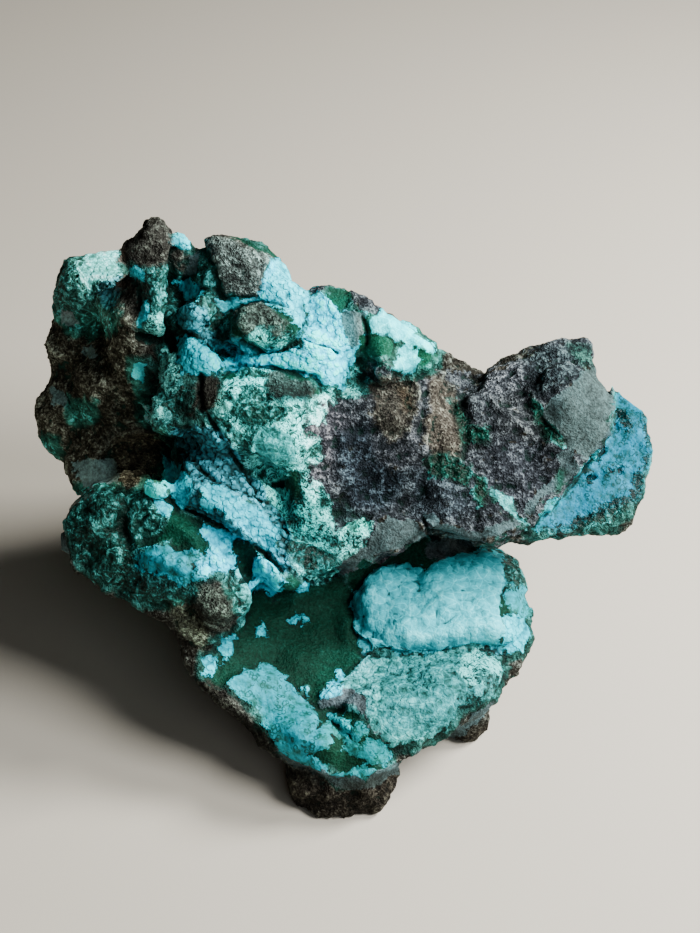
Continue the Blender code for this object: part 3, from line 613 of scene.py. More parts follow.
# Where the photograph shows nothing, from noise: its size in mm, octaves and seed, how rare the
# mineral is, and how much rarer it gets at the foot and at the peak
HIDDEN = {
    "malachite": (20, 3, 21, 0.15, 1.0),
    "teal": (12, 3, 41, 0.45, 1.0),
    "mottle": (17, 3, 91, 0.25, 1.0),
    "sky": (13, 4, 31, 0.5, 1.0),
    "ringed": (13, 3, 57, 0.95, 1.0),
    "cream": (14, 4, 59, 0.85, 1.0),
    "pale": (15, 4, 51, 0.75, 1.0),
    "ropy": (19, 3, 55, 0.55, 1.0),
    "grey": (24, 3, 61, 0.35, 0.5),
    "ash": (14, 3, 65, 0.75, 0.0),
    "brown": (18, 3, 71, 0.3, 0.0),
}
FOOT, PEAK = (26, 4), (80, 88)  # mm up, from where each starts to where it is full
HIDDEN_SLOPE = 6  # mm inside a mineral that a whole step of its noise stands for

# How high each texture stands on a mineral, in mm; flat is a height all over
RELIEF = {
    "bare": dict(grain=0.3, crag=1.1, chips=0.5, fine=0.3, flat=-0.8),
    "malachite": dict(swell=0.10, fine=0.03, flat=-0.15),
    "teal": dict(pebbles=0.25, crag=0.7, chips=0.5, flat=-0.4),
    "mottle": dict(pebbles=0.15, crag=0.8, chips=0.5, fine=0.25, flat=-0.4),
    "sky": dict(flat=0.10, pebbles=0.20, crag=0.3, chips=0.15),
    "ringed": dict(flat=0.10, pebbles=0.06, lumps=0.10, swell=0.10),
    "cream": dict(flat=0.10, pebbles=0.12, lumps=0.25, chips=0.15),
    "pale": dict(flat=0.10, pebbles=0.06, lumps=0.60),
    "ropy": dict(ropes=0.2, pebbles=0.5, lumps=0.3, chips=0.1),
    "grey": dict(grain=0.15, crag=0.9, chips=0.7, fine=0.25, flat=-0.5),
    "ash": dict(grain=0.04, crag=0.30, fine=0.05),
    "brown": dict(grain=0.30, crag=0.7, chips=0.4, fine=0.2, flat=-0.3),
}
RELIEF_EDGE = (-0.5, 0.3)  # mm inside a mineral where its relief starts and is full

# The wrinkles of the ropy crust
ROPE_TURN = math.radians(38)  # their way down to the right, in the picture
ROPE_SPACING = 1.9  # mm
ROPE_BEND, ROPE_BEND_SIZE = 1.1, 1.6  # mm: how far they bend, and over what width
ROPE_STRETCH = 2.6  # how much longer than wide their bends are
ROPE_STRENGTH, ROPE_CHANGE = 0.7, 0.5  # how strong they are, and how much that changes
ROPE_CHANGE_SIZE = 2.0  # mm over which it changes


# ---------------------------------------------------------------- the skin


def fine_skin(node):
    """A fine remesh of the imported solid, as a new object."""
    rock = bpy.data.objects.new("rock", node.data.copy())
    bpy.context.scene.collection.objects.link(rock)
    remesh = rock.modifiers.new("Fine skin", "REMESH")
    remesh.mode = "VOXEL"
    remesh.voxel_size = SKIN * MM
    smooth = rock.modifiers.new("Soften facets", "SMOOTH")
    smooth.iterations = SOFTENING
    applied(rock)
    return rock


def applied(rock):
    """Turns the object's modifiers into its mesh."""
    graph = bpy.context.evaluated_depsgraph_get()
    mesh = bpy.data.meshes.new_from_object(rock.evaluated_get(graph))
    rock.modifiers.clear()
    rock.data = mesh


def vectors(mesh, what):
    """The place or normal of each vertex, a row each."""
    values = np.empty(len(mesh.vertices) * 3)
    mesh.vertices.foreach_get(what, values)
    return values.reshape(-1, 3)


def edges_of(mesh):
    """The two vertices of each edge, a row each."""
    edges = np.empty(len(mesh.edges) * 2, np.int32)
    mesh.edges.foreach_get("vertices", edges)
    return edges.reshape(-1, 2)


def nearest_of(places, rows):
    """A tree that finds the nearest of these rows of the places."""
    tree = KDTree(len(rows))
    for row in rows:
        tree.insert(places[row], row)
    tree.balance()
    return tree


def seen_by_camera(places, normals, node):
    """Which vertices the photograph's camera sees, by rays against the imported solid."""
    tree = BVHTree.FromObject(node, bpy.context.evaluated_depsgraph_get())
    eye = camera_place()
    ways = eye - places
    ways /= np.linalg.norm(ways, axis=1)[:, None]
    starts = (places + ways * SIGHT_AHEAD + normals * SIGHT_OFF) * MM
    seen = (ways * normals).sum(1) > FACING
    for n in np.nonzero(seen)[0]:
        if tree.ray_cast(starts[n], ways[n])[0] is not None:
            seen[n] = False
    return seen


def lay_minerals(places, seen):
    """For each mineral, how far each vertex is inside its patches, in mm."""
    px, py = wandering_pixels(places, PATCH_WAVES)
    depth = {name: np.full(len(places), -FAR) for name in MINERALS}
    margin = FAR * PX
    for mineral, corners in PATCHES:
        box = np.array(corners)
        low, high = box.min(0) - margin, box.max(0) + margin
        near = seen & (px > low[0]) & (px < high[0]) & (py > low[1]) & (py < high[1])
        inside = np.clip(inside_distance(px[near], py[near], corners) / PX, -FAR, FAR)
        for name in MINERALS:
            if name == mineral:
                depth[name][near] = np.maximum(depth[name][near], inside)
            else:
                depth[name][near] = np.minimum(depth[name][near], -inside)
    return depth


def hidden_minerals(places):
    """The same minerals from noise, for the skin that the photograph doesn't show."""
    ends = ramp(places[:, 2], *FOOT) + ramp(places[:, 2], *PEAK)
    depth = {}
    for name, (size, octaves, seed, rarity, shyness) in HIDDEN.items():
        noise = fractal(places, size, octaves, seed)
        depth[name] = np.clip((noise - rarity - ends * shyness) * HIDDEN_SLOPE, -FAR, FAR)
    return depth


def mix_sides(places, seen, shown, hidden):
    """Carries the shown minerals a little way past the edge of sight, then fades to the hidden."""
    tree = nearest_of(places, np.nonzero(seen)[0])
    source = np.arange(len(places))
    away = np.zeros(len(places))
    for row in np.nonzero(~seen)[0]:
        _, source[row], away[row] = tree.find(places[row])
    share = 1 - ramp(away + smooth_noise(places, *CARRIED_WAVES), *CARRIED)
    mixed = {}
    for name in MINERALS:
        mixed[name] = shown[name][source] * share + hidden[name] * (1 - share)
    return mixed, share


def ropes(places):
    """Wrinkles that run down to the right in the picture, from -1 in the gaps to 1 on top."""
    px, py = to_pixels(places)
    along = (px * math.cos(ROPE_TURN) + py * math.sin(ROPE_TURN)) / PX
    across = (py * math.cos(ROPE_TURN) - px * math.sin(ROPE_TURN)) / PX
    flow = np.stack([along / ROPE_STRETCH, across, np.zeros(len(px))], axis=1)
    across = across + ROPE_BEND * smooth_noise(flow, ROPE_BEND_SIZE, 121)
    crest = 1 - 2 * np.abs(np.sin(across * math.pi / ROPE_SPACING))
    return crest * (ROPE_STRENGTH + ROPE_CHANGE * smooth_noise(places, ROPE_CHANGE_SIZE, 123))


def relief(places, minerals):
    """How far the skin rises along its normal, in mm, from the minerals."""
    cover = {name: ramp(minerals[name], *RELIEF_EDGE) for name in MINERALS}
    cover["bare"] = np.prod([1 - cover[name] for name in MINERALS], axis=0)
    textures = {
        "flat": np.ones(len(places)),
        "grain": domes(places, 1.1, 101),
        "pebbles": domes(places, 1.5, 105),
        "lumps": domes(places, 3.6, 109),
        "fine": fractal(places, 2.2, 3, 117),
        "swell": fractal(places, 6, 3, 113),
        "crag": crags(places, 7, 4, 115),
        "chips": crags(places, 2.6, 2, 151),
        "ropes": ropes(places),
    }
    rise = np.zeros(len(places))
    for name, parts in RELIEF.items():
        rise += cover[name] * sum(height * textures[texture] for texture, height in parts.items())
    return rise


def shape_features(places, seen):
    """Crust edges, ridges, grooves, knobs and pits of the photograph, in mm along the normal."""
    px, py = wandering_pixels(places, FEATURE_WAVES)
    rise = np.zeros(len(places))
    for corners, height, edge in PLATEAUS:
        rise += height * ramp(inside_distance(px, py, corners) / PX, -edge / 3, edge)
    for path, reach, height in STROKES:
        away = path_distance(px, py, path) / PX / reach
        rise += height * np.clip(1 - away**2, 0, 1) ** 1.5
    for x, y, radius, height in KNOBS:
        away = np.hypot(px - x, py - y) / PX / radius
        rise += height * np.sqrt(np.clip(1 - away**2, 0, 1))
    return np.where(seen, rise, 0)


def tones_and_painted_light(places, seen):
    """What each vertex's colours are multiplied by, in red, green and blue: partly the rock's own colour,
    partly painted light and painted shade.
    """
    px, py = wandering_pixels(places, TONE_WAVES)
    tone = np.ones((len(places), 3))
    for corners, factor, fade in TONES_AND_PAINTED_LIGHT:
        share = ramp(inside_distance(px, py, corners) / PX, -fade, fade) * seen
        tone += (np.array(factor) - tone) * share[:, None]
    return tone


def smoothed(values, edges, rounds):
    """Values averaged with their neighbours, this many times."""
    first, second = edges.T
    count = np.bincount(first, minlength=len(values)) + np.bincount(second, minlength=len(values))
    count = np.maximum(count, 1)
    for _ in range(rounds):
        columns = []
        for column in values.T:
            total = np.bincount(first, column[second], len(values))
            total += np.bincount(second, column[first], len(values))
            columns.append(total / count)
        values = 0.5 * values + 0.5 * np.stack(columns, axis=1)
    return values


def rounded(mesh, places, normals):
    """The places with facets rounded off and narrow hollows partly filled, in mm."""
    even = smoothed(places, edges_of(mesh), ROUNDING)
    dip = ((even - places) * normals).sum(1)
    fill = FILL_SHARE * np.minimum(dip, FILL_MOST)
    wear = WEAR_SHARE * np.maximum(dip, -WEAR_MOST)
    return places + normals * np.where(dip > 0, fill, wear)[:, None]


def heights(mesh, places):
    """How far each vertex stands out of its surroundings, in mm, near and wide."""
    edges = edges_of(mesh)
    normals = vectors(mesh, "normal")
    near = smoothed(places, edges, NEAR_ROUNDS)
    wide = smoothed(near, edges, WIDE_ROUNDS)
    return ((places - near) * normals).sum(1), ((places - wide) * normals).sum(1)


def surface(minerals):
    """Roughness, grit and pebbles of each vertex, from the minerals."""
    values = np.tile(np.array(BARE)[:, None], len(minerals["sky"]))
    for name in MINERALS:
        cover = ramp(minerals[name], -SURFACE_EDGE, SURFACE_EDGE)
        values = values * (1 - cover) + np.array(SURFACES[name])[:, None] * cover
    return values


def build_rock(node):
    """The rock's full skin, its places in mm, its layers, and how shown each vertex is."""
    rock = fine_skin(node)
    places = vectors(rock.data, "co") / MM
    normals = vectors(rock.data, "normal")
    seen = seen_by_camera(places, normals, node)
    shown = lay_minerals(places, seen)
    layers, share = mix_sides(places, seen, shown, hidden_minerals(places))
    rise = relief(places, layers) + shape_features(places, seen)
    places = rounded(rock.data, places, normals) + normals * rise[:, None]
    low, high = (np.array(corner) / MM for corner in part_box("specimen"))
    spare = (high - low) * SPARE
    places = np.clip(places, low - spare * (1, 1, 0), high + spare)  # never below the foot
    rock.data.vertices.foreach_set("co", (places * MM).ravel())
    rock.data.update()
    nearest = np.max([layers[name] for name in GREENS], axis=0)
    layers["verdant"] = ramp(nearest, *GREEN_REACH)
    layers["roughness"], layers["grit"], layers["pebbles"] = surface(layers)
    # colour factors by region: partly the rock's own colour, partly painted light and painted shade
    layers["tone"] = tones_and_painted_light(places, seen)
    # relief near and wide, which the colour uses for painted highlight and painted shade
    layers["near_relief"], layers["wide_relief"] = heights(rock.data, places)
    return rock, places, layers, share


def drop_crumbs(rock):
    """Deletes stray faces, and the specks of mesh that aren't joined to the rock."""
    mesh = bmesh.new()
    mesh.from_mesh(rock.data)
    fins = [face for face in mesh.faces if any(edge.is_boundary for edge in face.edges)]
    bmesh.ops.delete(mesh, geom=fins, context="FACES")
    parts = []
    left = set(mesh.verts)
    while left:
        part = []
        waiting = [left.pop()]
        while waiting:
            vertex = waiting.pop()
            part.append(vertex)
            for edge in vertex.link_edges:
                other = edge.other_vert(vertex)
                if other in left:
                    left.remove(other)
                    waiting.append(other)
        parts.append(part)
    parts.sort(key=len)
    crumbs = [vertex for part in parts[:-1] for vertex in part]
    bmesh.ops.delete(mesh, geom=crumbs, context="VERTS")
    mesh.to_mesh(rock.data)
    mesh.free()


def thin(rock, places, layers, share):
    """Thins the skin, the side the photograph doesn't show first, and keeps the layers on it."""
    group = rock.vertex_groups.new(name="hidden")
    hidden = share < 0.5
    group.add(np.nonzero(hidden)[0].tolist(), 1.0, "REPLACE")
    decimate = rock.modifiers.new("Thin the hidden side", "DECIMATE")
    decimate.ratio = 1 - hidden.mean() * (1 - HIDDEN_KEPT)
    decimate.vertex_group = "hidden"
    applied(rock)
    rock.vertex_groups.clear()
    rock.data.calc_loop_triangles()
    decimate = rock.modifiers.new("Thin", "DECIMATE")
    decimate.ratio = min(1, TRIANGLES / len(rock.data.loop_triangles))
    applied(rock)
    drop_crumbs(rock)
    tree = nearest_of(places, range(len(places)))
    kept = vectors(rock.data, "co") / MM
    rows = np.array([tree.find(place)[1] for place in kept])
    for name, values in layers.items():
        kind, part = ("FLOAT_VECTOR", "vector") if values.ndim == 2 else ("FLOAT", "value")
        layer = rock.data.attributes.new(name, kind, "POINT")
        layer.data.foreach_set(part, values[rows].ravel())
    rock.data.shade_smooth()


# ---------------------------------------------------------------- material


class Nodes:
    """Short ways to add and join shader nodes."""

    def __init__(self, tree):
        self.tree = tree

    def add(self, kind, **settings):
        node = self.tree.nodes.new(kind)
        for name, value in settings.items():
            setattr(node, name, value)
        return node

    def put(self, socket, value):
        if isinstance(value, bpy.types.NodeSocket):
            self.tree.links.new(value, socket)
        else:
            socket.default_value = value

    def fill(self, node, values):
        for name, value in values.items():
            self.put(node.inputs[name], value)

    def attribute(self, name, output="Fac"):
        return self.add("ShaderNodeAttribute", attribute_name=name).outputs[output]

    def maths(self, operation, a, b=0.0):
        node = self.add("ShaderNodeMath", operation=operation)
        self.put(node.inputs[0], a)
        self.put(node.inputs[1], b)
        return node.outputs[0]

    def spread(self, value, low, high, out_high=1.0):
        """From 0 where the value is low to out_high where it is high, eased at both ends."""
        node = self.add("ShaderNodeMapRange", interpolation_type="SMOOTHSTEP")
        self.fill(node, {"Value": value, "From Min": low, "From Max": high, "To Max": out_high})
        return node.outputs["Result"]

    def noise(self, where, size, detail, distortion, roughness):
        """Soft noise from -0.5 to 0.5."""
        node = self.add("ShaderNodeTexNoise")
        self.fill(node, {"Vector": where, "Scale": 1 / size, "Detail": detail,
                         "Roughness": roughness, "Distortion": distortion})
        return self.maths("SUBTRACT", node.outputs["Fac"], 0.5)

    def total(self, *parts, start=0.0):
        """The start and each value times its weight, added up."""
        total = start
        for value, weight in parts:
            total = self.maths("ADD", self.maths("MULTIPLY", value, weight), total)
        return total

    def warped(self, where, size, reach):
        """The places shifted every way by noise, by up to reach."""
        noise = self.add("ShaderNodeTexNoise")
        self.fill(noise, {"Vector": where, "Scale": 1 / size})
        node = self.add("ShaderNodeVectorMath", operation="MULTIPLY_ADD")
        self.put(node.inputs[0], noise.outputs["Color"])
        self.put(node.inputs[1], (reach, reach, reach))
        self.put(node.inputs[2], where)
        return node.outputs["Vector"]

    def voronoi(self, where, size, feature="F1"):
        node = self.add("ShaderNodeTexVoronoi", feature=feature)
        self.fill(node, {"Vector": where, "Scale": 1 / size})
        return node.outputs["Distance"]

    def mix(self, share, a, b, blend="MIX"):
        node = self.add("ShaderNodeMix", data_type="RGBA", blend_type=blend, clamp_result=True)
        self.fill(node, {"Factor": share, "A": a, "B": b if isinstance(b, bpy.types.NodeSocket) else (*b, 1)})
        return node.outputs["Result"]

    def shades(self, value, stops):
        """Colours for a value from 0 to 1, from stops that each give a value, red, green and blue."""
        node = self.add("ShaderNodeValToRGB")
        self.put(node.inputs["Fac"], value)
        elements = node.color_ramp.elements
        while len(elements) < len(stops):
            elements.new(0.5)
        for element, (at, *colour) in zip(elements, stops):
            element.position = at
            element.color = (*colour, 1)
        return node.outputs["Color"]


# How a mineral's edge breaks up: noise added in mm, and half the width over which it fades in mm
EDGES = {
    "malachite": (3.0, 0.12),
    "teal": (4.0, 0.15),
    "mottle": (3.5, 0.5),
    "sky": (4.6, 0.06),
    "ringed": (4.6, 0.06),
    "cream": (3.0, 0.20),
    "pale": (3.0, 0.10),
    "ropy": (3.0, 0.20),
    "grey": (9.0, 0.5),
    "ash": (2.0, 0.18),
    "brown": (4.0, 0.7),
}
EDGE_FINE, EDGE_GRAIN = 0.8, 0.25  # mm of finer noise on every edge
EDGE_START = 0.05  # how far edges grow, as a share of the noise added
EDGE_HOLD = (-3.0, 1.0)  # mm inside a mineral within which its edge is broken up

# Noises of the material: size in mm, detail, distortion, roughness
NOISES = {
    "grain": (0.45, 1.0, 0.0, 0.7),
    "fine": (0.9, 2.0, 0.0, 0.5),
    "middle": (3.0, 3.0, 0.4, 0.6),
    "broad": (8.0, 1.0, 0.0, 0.5),
    "wisps": (1.5, 4.0, 1.4, 0.66),
    "patchy": (2.3, 3.0, 0.5, 0.62),
}
CLOUD = (1.9, 4.0, 0.0, 0.62)  # the same, in warped places
WARP_SIZE, WARP_REACH = 1.4, 0.8  # mm
PEBBLE, NET = 1.15, 2.2  # mm: the size of the pebbles and of the meshes of the pale net
CREVICE = (0.38, 0.72)  # pebbles from a pebble's middle, where its gap starts and is deepest
NET_WIDTH = 0.09  # half the width of the net's lines, in meshes
RING_AT = 0.42  # pebbles from a pebble's middle
RING_WIDTH = (0.16, 0.04)  # pebbles from there, where a ring starts and is full
RING_PLACES = (-0.03, 0.04)  # of the middle noise, where rings start and are full
TINT_SHADE_NEAR, TINT_SHADE_WIDE, TINT_SHADE_FINE = 1.5, 0.35, 0.5  # what a place's height is added up from; it lightens tops and darkens hollows in the colour, partly the crust's own paler tops, partly painted highlight and painted shade

# How light each tone is: a start, and the weight of each texture that is added to it. The weights on
# the height of places lighten tops and darken hollows, partly the crust's own paler tops and partly
# painted highlight and painted shade; the negative weights on pebble gaps are painted shade.
MIXES = {
    "rough": (0.5, dict(grain=0.5, fine=0.6, middle=0.8, relief_tint_and_shade=0.16)),
    "soft": (0.5, dict(middle=0.9, grain=0.3, relief_tint_and_shade=0.12)),
    "malachite": (0.5, dict(middle=0.3, grain=0.4, fine=0.4, relief_tint_and_shade=0.20)),
    "teal": (0.5, dict(wisps=1.0, relief_tint_and_shade=0.14)),
    "mottle": (0.0, dict(veins=1.0, middle=-0.35, broad=-0.25, relief_tint_and_shade=-0.04)),
    "sky": (0.60, dict(relief_tint_and_shade=0.22, cloud=0.8, crevice=-0.13)),
    "ringed": (0.52, dict(relief_tint_and_shade=0.12, cloud=1.1, net=0.05)),
    "cream": (0.50, dict(net=0.14, relief_tint_and_shade=0.16, cloud=1.1, crevice=-0.06)),
    "pale": (0.56, dict(net=0.12, relief_tint_and_shade=0.09, cloud=0.6, crevice=-0.03)),
    "ropy": (0.56, dict(relief_tint_and_shade=0.26, cloud=0.8, crevice=-0.20)),
    "grey": (0.47, dict(grain=0.45, fine=0.7, middle=0.7, broad=0.4, relief_tint_and_shade=0.26)),
}
# Each colour's tone, and its stops: how light the tone is, then red, green and blue
SHADES = {
    "rock": ("rough", (
        (0.34, 0.003, 0.003, 0.002), (0.50, 0.011, 0.011, 0.008),
        (0.64, 0.034, 0.036, 0.030), (0.82, 0.12, 0.14, 0.12))),
    "stained": ("soft", (
        (0.34, 0.003, 0.012, 0.010), (0.50, 0.008, 0.042, 0.034),
        (0.62, 0.022, 0.105, 0.090), (0.78, 0.06, 0.30, 0.29))),
    "malachite": ("malachite", (
        (0.26, 0.0002, 0.013, 0.007), (0.46, 0.0007, 0.027, 0.015),
        (0.62, 0.0020, 0.042, 0.026), (0.80, 0.008, 0.085, 0.062))),
    "teal": ("teal", (
        (0.36, 0.002, 0.014, 0.010), (0.49, 0.006, 0.037, 0.030), (0.57, 0.014, 0.10, 0.09),
        (0.66, 0.05, 0.34, 0.34), (0.82, 0.15, 0.72, 0.70))),
    "mottle": ("mottle", (
        (0.0, 0.22, 0.95, 0.88), (0.020, 0.08, 0.50, 0.48), (0.046, 0.020, 0.16, 0.15),
        (0.10, 0.007, 0.044, 0.036), (0.20, 0.003, 0.017, 0.013))),
    "sky": ("sky", (
        (0.28, 0.004, 0.075, 0.090), (0.40, 0.004, 0.21, 0.28),
        (0.54, 0.003, 0.40, 0.52), (0.72, 0.02, 0.66, 0.80))),
    "ringed": ("ringed", (
        (0.34, 0.010, 0.12, 0.11), (0.46, 0.012, 0.23, 0.25),
        (0.60, 0.006, 0.35, 0.45), (0.78, 0.02, 0.52, 0.64))),
    "cream": ("cream", (
        (0.28, 0.006, 0.045, 0.038), (0.42, 0.026, 0.17, 0.16),
        (0.55, 0.045, 0.33, 0.34), (0.76, 0.16, 0.66, 0.64))),
    "pale": ("pale", (
        (0.28, 0.010, 0.080, 0.090), (0.42, 0.014, 0.22, 0.26),
        (0.57, 0.018, 0.38, 0.46), (0.76, 0.06, 0.60, 0.68))),
    "ropy": ("ropy", (
        (0.30, 0.008, 0.044, 0.046), (0.43, 0.020, 0.12, 0.14),
        (0.55, 0.030, 0.21, 0.26), (0.70, 0.05, 0.36, 0.45))),
    "grey": ("grey", (
        (0.30, 0.004, 0.006, 0.008), (0.46, 0.013, 0.017, 0.021),
        (0.58, 0.034, 0.043, 0.050), (0.78, 0.12, 0.15, 0.165))),
    "ash": ("rough", (
        (0.20, 0.017, 0.028, 0.029), (0.50, 0.042, 0.070, 0.074), (0.80, 0.075, 0.14, 0.15))),
    "brown": ("rough", (
        (0.32, 0.009, 0.009, 0.008), (0.48, 0.025, 0.026, 0.022),
        (0.64, 0.056, 0.061, 0.053), (0.86, 0.19, 0.23, 0.19))),
}
# Rings in a crust, and a dark rim along its edge that is partly the crust's own dark edge and partly
# painted shadow: how strong, then the colour; a rim's width is in mm
RINGS = {"cream": (0.55, (0.012, 0.12, 0.095)), "ringed": (0.85, (0.006, 0.075, 0.055))}
RIMS_AND_EDGE_SHADOWS = {
    "sky": (0.45, 0.7, (0.006, 0.10, 0.10)),
    "pale": (0.35, 0.5, (0.010, 0.11, 0.10)),
    "ringed": (0.30, 0.6, (0.008, 0.09, 0.075)),
}
STAIN = (0.25, 0.75)  # of the verdant layer, where the rock's stain starts and is full
# Hollows darkened towards a dark green: partly the rock's own dark colour there, partly painted shade
HOLLOW_DARK_AND_SHADE = (-0.15, -0.60)  # of the height of places, where hollows start to darken and are darkest
HOLLOW_DARK_AND_SHADE_STRENGTH, HOLLOW_DARK_AND_SHADE_COLOUR = 0.85, (0.003, 0.014, 0.011)
SPECULAR = 0.08
BUMP_STRENGTH, BUMP_HEIGHT = 0.9, 0.0006  # the height in m
FINE_GRIT = 0.9  # how strong the fine noise is in the bump, to the grain's 1
SKY_STEP = 0.6  # how high the sky crust's edge stands in the bump


def rock_textures(n):
    """The textures that the minerals' colours and bumps are made of."""
    scale = n.add("ShaderNodeMapping", vector_type="POINT")
    scale.inputs["Scale"].default_value = (1 / MM, 1 / MM, 1 / MM)
    n.put(scale.inputs["Vector"], n.add("ShaderNodeTexCoord").outputs["Object"])
    where = scale.outputs["Vector"]
    warped = n.warped(where, WARP_SIZE, WARP_REACH)
    texture = {name: n.noise(where, *shape) for name, shape in NOISES.items()}
    texture["cloud"] = n.noise(warped, *CLOUD)
    texture["veins"] = n.maths("ABSOLUTE", texture["wisps"])
    texture["net"] = n.spread(n.voronoi(warped, NET, "DISTANCE_TO_EDGE"), NET_WIDTH, 0.0)
    pebble = n.voronoi(warped, PEBBLE)
    texture["crevice"] = n.spread(pebble, *CREVICE)
    ring = n.spread(n.maths("ABSOLUTE", n.maths("SUBTRACT", pebble, RING_AT)), *RING_WIDTH)
    texture["ring"] = n.maths("MULTIPLY", ring, n.spread(texture["middle"], *RING_PLACES))
    near, wide = n.attribute("near_relief"), n.attribute("wide_relief")
    # The height of places, which lightens tops and darkens hollows in the colour: partly the crust's own
    # paler tops, partly painted highlight and painted shade
    texture["relief_tint_and_shade"] = n.total((near, TINT_SHADE_NEAR), (wide, TINT_SHADE_WIDE), (texture["fine"], TINT_SHADE_FINE))
    return texture


def mineral_edges(n, texture):
    """How far inside each mineral a place is, with its edge broken up, and how much it covers."""
    depth, cover = {}, {}
    for name in MINERALS:
        breaks, fade = EDGES[name]
        held = n.maths("MAXIMUM", n.maths("MINIMUM", n.attribute(name), EDGE_HOLD[1]), EDGE_HOLD[0])
        depth[name] = n.total((held, 1.0), (texture["patchy"], breaks), (texture["fine"], EDGE_FINE),
                              (texture["grain"], EDGE_GRAIN), start=EDGE_START * breaks)
        cover[name] = n.spread(depth[name], -fade, fade)
    return depth, cover


def mineral_colours(n, texture, depth):
    """The colour of each mineral, and of bare and stained rock."""
    tone, colour = {}, {}
    for name, (start, weights) in MIXES.items():
        tone[name] = n.total(*((texture[part], weight) for part, weight in weights.items()), start=start)
    for name, (source, stops) in SHADES.items():
        colour[name] = n.shades(tone[source], stops)
    for name, (share, ring) in RINGS.items():
        colour[name] = n.mix(n.maths("MULTIPLY", texture["ring"], share), colour[name], ring)
    # dark rims on crust edges: partly the crust's own dark edge, partly painted shadow
    for name, (width, share, rim_and_shadow) in RIMS_AND_EDGE_SHADOWS.items():
        colour[name] = n.mix(n.spread(depth[name], width, 0.0, share), colour[name], rim_and_shadow)
    return colour


def rock_material():
    """Matt to waxy crusts on granular rock, each mineral laid over those before it."""
    material = bpy.data.materials.new("crusted_rock")
    material.use_nodes = True
    n = Nodes(material.node_tree)
    shader = material.node_tree.nodes["Principled BSDF"]
    shader.inputs["Specular IOR Level"].default_value = SPECULAR
    texture = rock_textures(n)
    depth, cover = mineral_edges(n, texture)
    colours = mineral_colours(n, texture, depth)
    verdant = n.total((n.attribute("verdant"), 1.0), (texture["patchy"], 1.0))
    colour = n.mix(n.spread(verdant, *STAIN), colours["rock"], colours["stained"])
    for name in MINERALS:
        colour = n.mix(cover[name], colour, colours[name])
    # darkens hollows: partly the rock's own dark green, partly painted shade
    colour = n.mix(n.spread(texture["relief_tint_and_shade"], *HOLLOW_DARK_AND_SHADE, HOLLOW_DARK_AND_SHADE_STRENGTH), colour, HOLLOW_DARK_AND_SHADE_COLOUR)
    # multiplies by the tone layer: partly the rock's own colour, partly painted light and painted shade by
    # region
    colour = n.mix(1.0, colour, n.attribute("tone", "Vector"), "MULTIPLY")
    n.put(shader.inputs["Base Color"], colour)
    n.put(shader.inputs["Roughness"], n.attribute("roughness"))
    grains = n.total((texture["grain"], 1.0), (texture["fine"], FINE_GRIT))
    grit = n.maths("MULTIPLY", grains, n.attribute("grit"))
    gaps = n.maths("MULTIPLY", texture["crevice"], n.attribute("pebbles"))
    bump = n.add("ShaderNodeBump")
    bump.inputs["Strength"].default_value = BUMP_STRENGTH
    bump.inputs["Distance"].default_value = BUMP_HEIGHT
    n.put(bump.inputs["Height"], n.total((grit, 1.0), (gaps, -1.0), (cover["sky"], SKY_STEP)))
    n.put(shader.inputs["Normal"], bump.outputs["Normal"])
    return material


# ---------------------------------------------------------------- stage, lights and camera

FLOOR_REACH = 3  # m to each side
FLOOR_COLOUR, FLOOR_ROUGHNESS = (0.388, 0.366, 0.315), 0.8
WORLD_COLOUR, WORLD_STRENGTH = (1.0, 0.60, 0.28), 0.017
ROCK_MIDDLE = (0, 0, 0.045)  # m


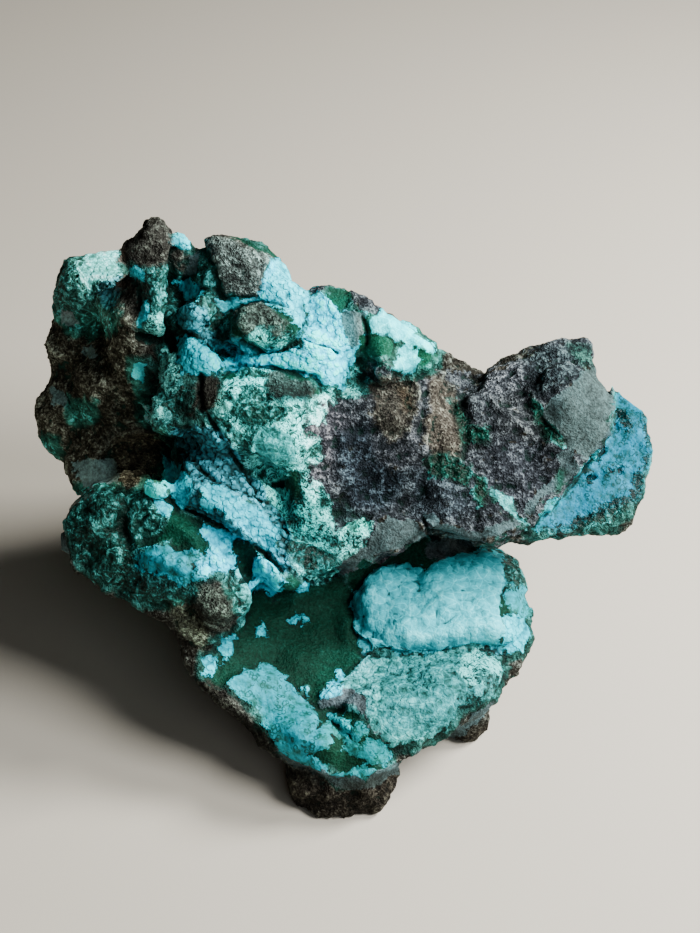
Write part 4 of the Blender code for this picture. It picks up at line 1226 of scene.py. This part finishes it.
def stage():
    """A plain pale floor."""
    mesh = bpy.data.meshes.new("floor")
    corners = [(x * FLOOR_REACH, y * FLOOR_REACH, 0) for x, y in ((-1, -1), (1, -1), (1, 1), (-1, 1))]
    mesh.from_pydata(corners, [], [(0, 1, 2, 3)])
    floor = bpy.data.objects.new("floor", mesh)
    bpy.context.scene.collection.objects.link(floor)
    paper = bpy.data.materials.new("pale_paper")
    paper.use_nodes = True
    shader = paper.node_tree.nodes["Principled BSDF"]
    shader.inputs["Base Color"].default_value = (*FLOOR_COLOUR, 1)
    shader.inputs["Roughness"].default_value = FLOOR_ROUGHNESS
    mesh.materials.append(paper)


def soft_light(name, toward, distance, size, power, colour):
    """A square soft light, so far from the rock's middle in the way that toward gives."""
    lamp = bpy.data.lights.new(name, "AREA")
    lamp.size = size
    lamp.energy = power
    lamp.color = colour
    light = bpy.data.objects.new(name, lamp)
    bpy.context.scene.collection.objects.link(light)
    way = Vector(toward).normalized()
    light.location = Vector(ROCK_MIDDLE) + way * distance
    light.rotation_euler = way.to_track_quat("Z", "Y").to_euler()


def lights():
    """Three soft lights, with sizes and distances in m and power in W, and a dim warm world."""
    soft_light("key", toward=(0.75, 0.20, 0.63), distance=0.46, size=0.15, power=7.3,
               colour=(1.0, 0.97, 0.92))
    soft_light("side", toward=(0.66, -0.30, 0.69), distance=0.50, size=0.20, power=5.5,
               colour=(1.0, 0.98, 0.95))
    soft_light("front", toward=(0.30, -0.75, 0.60), distance=0.90, size=0.50, power=1.45,
               colour=(0.92, 0.97, 1.0))
    world = bpy.data.worlds.new("studio")
    world.use_nodes = True
    world.node_tree.nodes["Background"].inputs["Color"].default_value = (*WORLD_COLOUR, 1)
    world.node_tree.nodes["Background"].inputs["Strength"].default_value = WORLD_STRENGTH
    bpy.context.scene.world = world


def camera():
    """The photograph's camera."""
    lens = bpy.data.cameras.new("camera")
    lens.lens = LENS
    lens.sensor_width = SENSOR
    lens.sensor_fit = "AUTO"
    lens.clip_start = NEAREST
    view = bpy.data.objects.new("camera", lens)
    view.location = Vector(camera_place()) * MM
    view.rotation_euler = (math.pi / 2 - LEAN, 0, 0)
    bpy.context.scene.collection.objects.link(view)
    bpy.context.scene.camera = view


def main():
    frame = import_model()
    node = frame["nodes"]["specimen"]
    rock, places, layers, share = build_rock(node)
    thin(rock, places, layers, share)
    rock.data.materials.clear()
    rock.data.materials.append(rock_material())
    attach(rock, "root")
    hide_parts("specimen")
    stage()
    lights()
    camera()


main()
